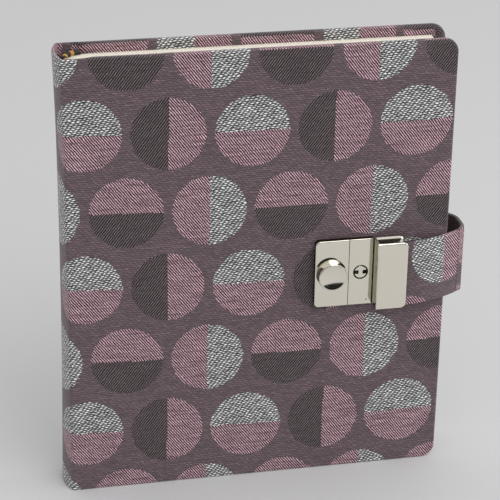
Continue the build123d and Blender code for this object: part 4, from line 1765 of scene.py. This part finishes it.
@dataclass
class Studio:
    """Pale floor, soft light from above and the right, a dark card for the metal, and the camera.

    The floor is matt grey paper, which takes a soft shadow. The card is black paper, which the polished
    nickel mirrors as dark bands.
    """

    floor_colour: str = "#cdcdce"
    floor_rough: float = 0.7
    floor_half: float = 4.0
    flag_colour: str = "#141414"
    flag_rough: float = 0.9
    flag_half: float = 0.5
    flag_y: float = -0.35
    flag_top: float = 0.3
    ambient: float = 0.8
    key_watts: float = 6.5
    key_size: float = 0.9
    key_place: Vector = Vector((0.45, -0.9, 1.2))
    side_watts: float = 1.7
    side_size: float = 0.5
    side_place: Vector = Vector((0.9, -0.2, 0.4))
    aim: Vector = Vector((0.0, 0.0, 0.09))
    lens_mm: float = 134.38
    sensor_mm: float = 36.0
    near: float = 0.01
    far: float = 20.0
    eye: Vector = Vector((-0.1399, -0.6335, 0.4027))
    turn_deg: tuple[float, float, float] = (64.732, -0.757, -11.556)

    def sheet(self, name: str, points: list, finish_name: str, colour: str, rough: float) -> Piece:
        """Make a plain rectangle that isn't part of the diary.

        Args:
            name: its name.
            points: its four corners.
            finish_name: its material's name.
            colour: its colour.
            rough: its roughness.

        Returns:
            The rectangle, not yet on the stage.
        """
        piece = new_piece(name, points, [(0, 1, 2, 3)])
        finish, _, shader = new_finish(finish_name)
        shader.inputs["Base Color"].default_value = linear(colour)
        shader.inputs["Roughness"].default_value = rough
        piece.data.materials.append(finish)
        return piece

    def floor(self) -> None:
        """Lay the floor."""
        half = self.floor_half
        points = [(-half, -half, 0), (half, -half, 0), (half, half, 0), (-half, half, 0)]
        self.sheet("floor", points, "pale_floor", self.floor_colour, self.floor_rough)

    def flag(self) -> None:
        """Stand a dark card in front, below the view, which only the polished metal mirrors."""
        half, y, top = self.flag_half, self.flag_y, self.flag_top
        points = [(-half, y, 0), (half, y, 0), (half, y, top), (-half, y, top)]
        card = self.sheet("flag", points, "black_card", self.flag_colour, self.flag_rough)
        card.visible_camera = card.visible_diffuse = card.visible_shadow = False

    def lamp(self, name: str, watts: float, size: float, place: Vector) -> None:
        """Hang a soft lamp that looks at the diary.

        Args:
            name: the lamp's name.
            watts: its power.
            size: the side of its square face.
            place: where it hangs.
        """
        light = bpy.data.lights.new(name, "AREA")
        light.energy = watts
        light.size = size
        lamp = bpy.data.objects.new(name, light)
        lamp.location = place
        lamp.rotation_euler = (self.aim - place).to_track_quat("-Z", "Y").to_euler()
        bpy.context.scene.collection.objects.link(lamp)

    def light(self) -> None:
        """Set the world and the lamps."""
        scene = bpy.context.scene
        scene.world = bpy.data.worlds.new("studio")
        scene.world.use_nodes = True
        tree = scene.world.node_tree
        tree.nodes.clear()
        sky = add_node(tree, "ShaderNodeBackground", {"Color": (1, 1, 1, 1), "Strength": self.ambient})
        add_node(tree, "ShaderNodeOutputWorld", {"Surface": sky.outputs[0]})
        self.lamp("key", self.key_watts, self.key_size, self.key_place)
        self.lamp("side", self.side_watts, self.side_size, self.side_place)

    def camera(self) -> None:
        """Set up the camera."""
        data = bpy.data.cameras.new("camera")
        data.lens = self.lens_mm
        data.sensor_width = self.sensor_mm
        data.clip_start, data.clip_end = self.near, self.far
        camera = bpy.data.objects.new("camera", data)
        camera.location = self.eye
        camera.rotation_euler = Euler([math.radians(a) for a in self.turn_deg])
        bpy.context.scene.collection.objects.link(camera)
        bpy.context.scene.camera = camera

    def build(self) -> None:
        """Make the whole studio."""
        self.floor()
        self.flag()
        self.light()
        self.camera()
        bpy.context.scene.view_settings.view_transform = "Standard"


def dress_cad(finishes: dict[Slot, Finish]) -> None:
    """Give every CAD node that still shows the finish of its slot.

    Args:
        finishes: a material for each slot.
    """
    slots = {row["node"]: Slot(row["material_slot"]) for row in frame["record"]["subparts"]}
    for name, node in frame["nodes"].items():
        node.data.materials.clear()
        node.data.materials.append(finishes[slots[name]])
        LOG.info("%s: solid, dressed as %s", name, slots[name].value)


def main() -> None:
    """Build the diary and its studio."""
    logging.basicConfig(level=logging.INFO, format="%(name)s: %(message)s")
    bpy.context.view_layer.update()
    plan = Plan.read()
    jacquard = JacquardCloth()
    cloth, nickel = jacquard.make(plan.height), PolishedNickel().make()
    paper, end_paper = PAPER.make(), END_PAPER.make()
    black, gold, card = BLACK_SILK.make(), GOLD_SILK.make(), MANILA_CARD.make()
    steel = DRAWN_STEEL.make()
    dress_cad({
        Slot.CLOTH: cloth,
        Slot.BOARD: GREY_BOARD.make(),
        Slot.CARD: card,
        Slot.END_PAPER: end_paper,
        Slot.PAGES: paper,
        Slot.SILK: black,
        Slot.GAUZE: STARCHED_GAUZE.make(),
        Slot.NICKEL: nickel,
        Slot.STEEL: steel,
    })
    CaseCloth(plan, cloth, card).build()
    # the strap's inside gets painted shade
    Strap(plan, cloth, jacquard, STRAP_INSIDE_SHADE.make()).build()
    TextBlock(paper, end_paper).build()
    Headbands(black, gold).build(plan)
    # the keyhole's film, the plates' sides and the hasp's left side carry painted shade
    LockMetal(nickel, KEYHOLE_SHADE.make(), steel, PLATE_SIDE_SHADE.make(), HASP_SIDE_SHADE.make()).build()
    Studio().build()


if __name__ == "__main__":
    main()
